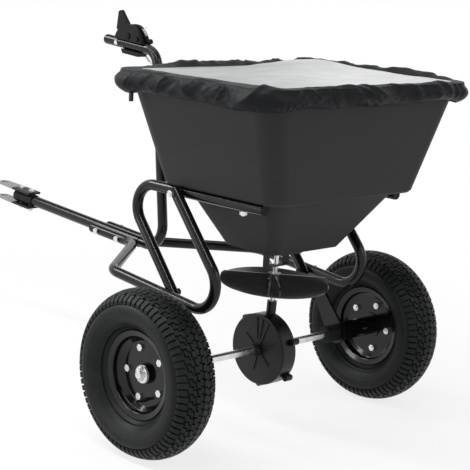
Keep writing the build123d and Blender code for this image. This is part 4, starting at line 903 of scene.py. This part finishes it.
cover_cloth, place = new_finish("cover_cloth", "UV", Specular_IOR_Level=0.1)
yarn = {"Vector": place, "Scale": 210.0}
threads = place.add("ShaderNodeTexWave", {"bands_direction": "X"}, yarn, "Fac")
picks = place.add("ShaderNodeTexWave", {"bands_direction": "Y"}, yarn, "Fac")
weave = threads.maths("MAXIMUM", threads, picks)
fade = place.grain(60.0, 5.0, 0.6)
lay_on(
    cover_cloth,
    Base_Color=(fade * 0.6 + weave * 0.4).tint((0.0045, 0.0049, 0.006), (0.0135, 0.0143, 0.017)),
    Roughness=0.4 + fade * 0.15,
    Normal=(weave * 0.3 + fade).bump(0.25, 0.0006),
)
skirt_mesh = bpy.data.meshes.new("cover_cloth_skirt")
skirt_mesh.from_pydata(cloth_points, [], hoop_faces(cloth_columns, cloth_rows))
skirt_mesh.shade_smooth()
skirt_uv = skirt_mesh.uv_layers.new(name="weave")
for loop in skirt_mesh.loops:
    skirt_uv.data[loop.index].uv = cloth_places[loop.vertex_index]
skirt = new_piece("cover_cloth_skirt", skirt_mesh, cover_cloth, "cover")
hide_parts("cover_skirt")

# Cord lock: a small toggle of black moulded plastic, clamped on the ends of the elastic. It hangs under the
# hem by the front left corner.
lock_plastic, place = new_finish("cord_lock_plastic", Specular_IOR_Level=0.4)
satin = place.grain(1600.0, 2.0)
lay_on(
    lock_plastic,
    Base_Color=satin.tint((0.008, 0.008, 0.008), (0.018, 0.018, 0.018)),
    Roughness=0.35 + satin * 0.15,
    Normal=satin.bump(0.2, 0.0002),
)
dress(lock_plastic, "cover_cord_lock")

# Floor: a wide sheet of white studio paper. It takes a soft shadow under the object, and to the camera and
# in reflections it is otherwise as white as the room.


def stage_sheet(name, corners, height, material):
    """One flat face at a height, for the stage."""
    mesh = bpy.data.meshes.new(name)
    mesh.from_pydata([(x, y, height) for x, y in corners], [], [(0, 1, 2, 3)])
    mesh.materials.append(material)
    sheet = bpy.data.objects.new(name, mesh)
    bpy.context.collection.objects.link(sheet)
    return sheet


def any_ray(tree, *kinds):
    """1 for a ray of one of these kinds, and 0 for all others."""
    path = tree.nodes.new("ShaderNodeLightPath")
    share = Wire(tree, path.outputs[kinds[0]])
    for kind in kinds[1:]:
        share = share.maths("MAXIMUM", share, Wire(tree, path.outputs[kind]))
    return share


floor_paper, place = new_finish(
    "floor_paper", Base_Color=(0.9, 0.9, 0.9, 1), Roughness=0.9, Specular_IOR_Level=0.0
)
paper_tree = floor_paper.node_tree
seen = any_ray(paper_tree, "Is Camera Ray", "Is Glossy Ray")
away = place.add("ShaderNodeVectorMath", {"operation": "LENGTH"}, {0: place}, "Value").steps(0.5, 1.5)
glow = paper_tree.nodes.new("ShaderNodeEmission")
blend = paper_tree.nodes.new("ShaderNodeMixShader")
paper_tree.links.new((seen * (0.8 + away * 0.2)).socket, blend.inputs[0])
paper_tree.links.new(paper_tree.nodes["Principled BSDF"].outputs[0], blend.inputs[1])
paper_tree.links.new(glow.outputs[0], blend.inputs[2])
paper_tree.links.new(blend.outputs[0], paper_tree.nodes["Material Output"].inputs[0])
floor = stage_sheet("floor", [(-9, -9), (9, -9), (9, 9), (-9, 9)], 0, floor_paper)

# Studio: a white room under a high dark ceiling, dim for all but the camera and reflections, with a broad
# soft box overhead, a long strip above the left wheel, panels in front and at the left, and an upright strip
# behind.
room = bpy.data.worlds.new("room")
bpy.context.scene.world = room
room.use_nodes = True
room_tree = room.node_tree
seen = any_ray(room_tree, "Is Camera Ray", "Is Glossy Ray", "Is Transmission Ray")
room_tree.links.new((0.24 + seen * 0.76).socket, room_tree.nodes["Background"].inputs["Strength"])
room_tree.nodes["Background"].inputs["Color"].default_value = (1, 1, 1, 1)


def soft_box(name, spot, aim, width, height, power):
    """An oblong area lamp that faces a point."""
    lamp = bpy.data.lights.new(name, "AREA")
    lamp.shape = "RECTANGLE"
    lamp.size = width
    lamp.size_y = height
    lamp.energy = power
    holder = bpy.data.objects.new(name, lamp)
    bpy.context.collection.objects.link(holder)
    heading = (Vector(aim) - Vector(spot)).to_track_quat("-Z", "Y")
    holder.matrix_world = Matrix.Translation(spot) @ heading.to_matrix().to_4x4()


ceiling_felt, place = new_finish("ceiling_felt", Roughness=1.0, Specular_IOR_Level=0.0)
lay_on(ceiling_felt, Base_Color=place.grain(40.0).tint((0.02, 0.02, 0.02), (0.03, 0.03, 0.03)))
ceiling = stage_sheet("ceiling", [(-11, -11), (-11, 11), (11, 11), (11, -11)], 9, ceiling_felt)
soft_box("overhead", (0.3, 0.3, 3.0), (0.0, -0.2, 0.4), 2.4, 2.4, 30.0)
soft_box("long_strip", (-1.3, -0.4, 2.5), (0.0, -0.3, 0.4), 3.2, 0.2, 50.0)
soft_box("front_panel", (-1.4, 2.4, 2.8), (0.0, 0.0, 0.5), 1.0, 1.1, 52.0)
soft_box("left_wall", (-2.4, 1.0, 1.2), (0.0, -0.2, 0.4), 0.5, 1.6, 20.0)
soft_box("rear_strip", (0.6, -3.0, 2.2), (0.0, -0.2, 0.4), 0.2, 1.8, 18.0)
bpy.context.scene.view_settings.view_transform = "Standard"
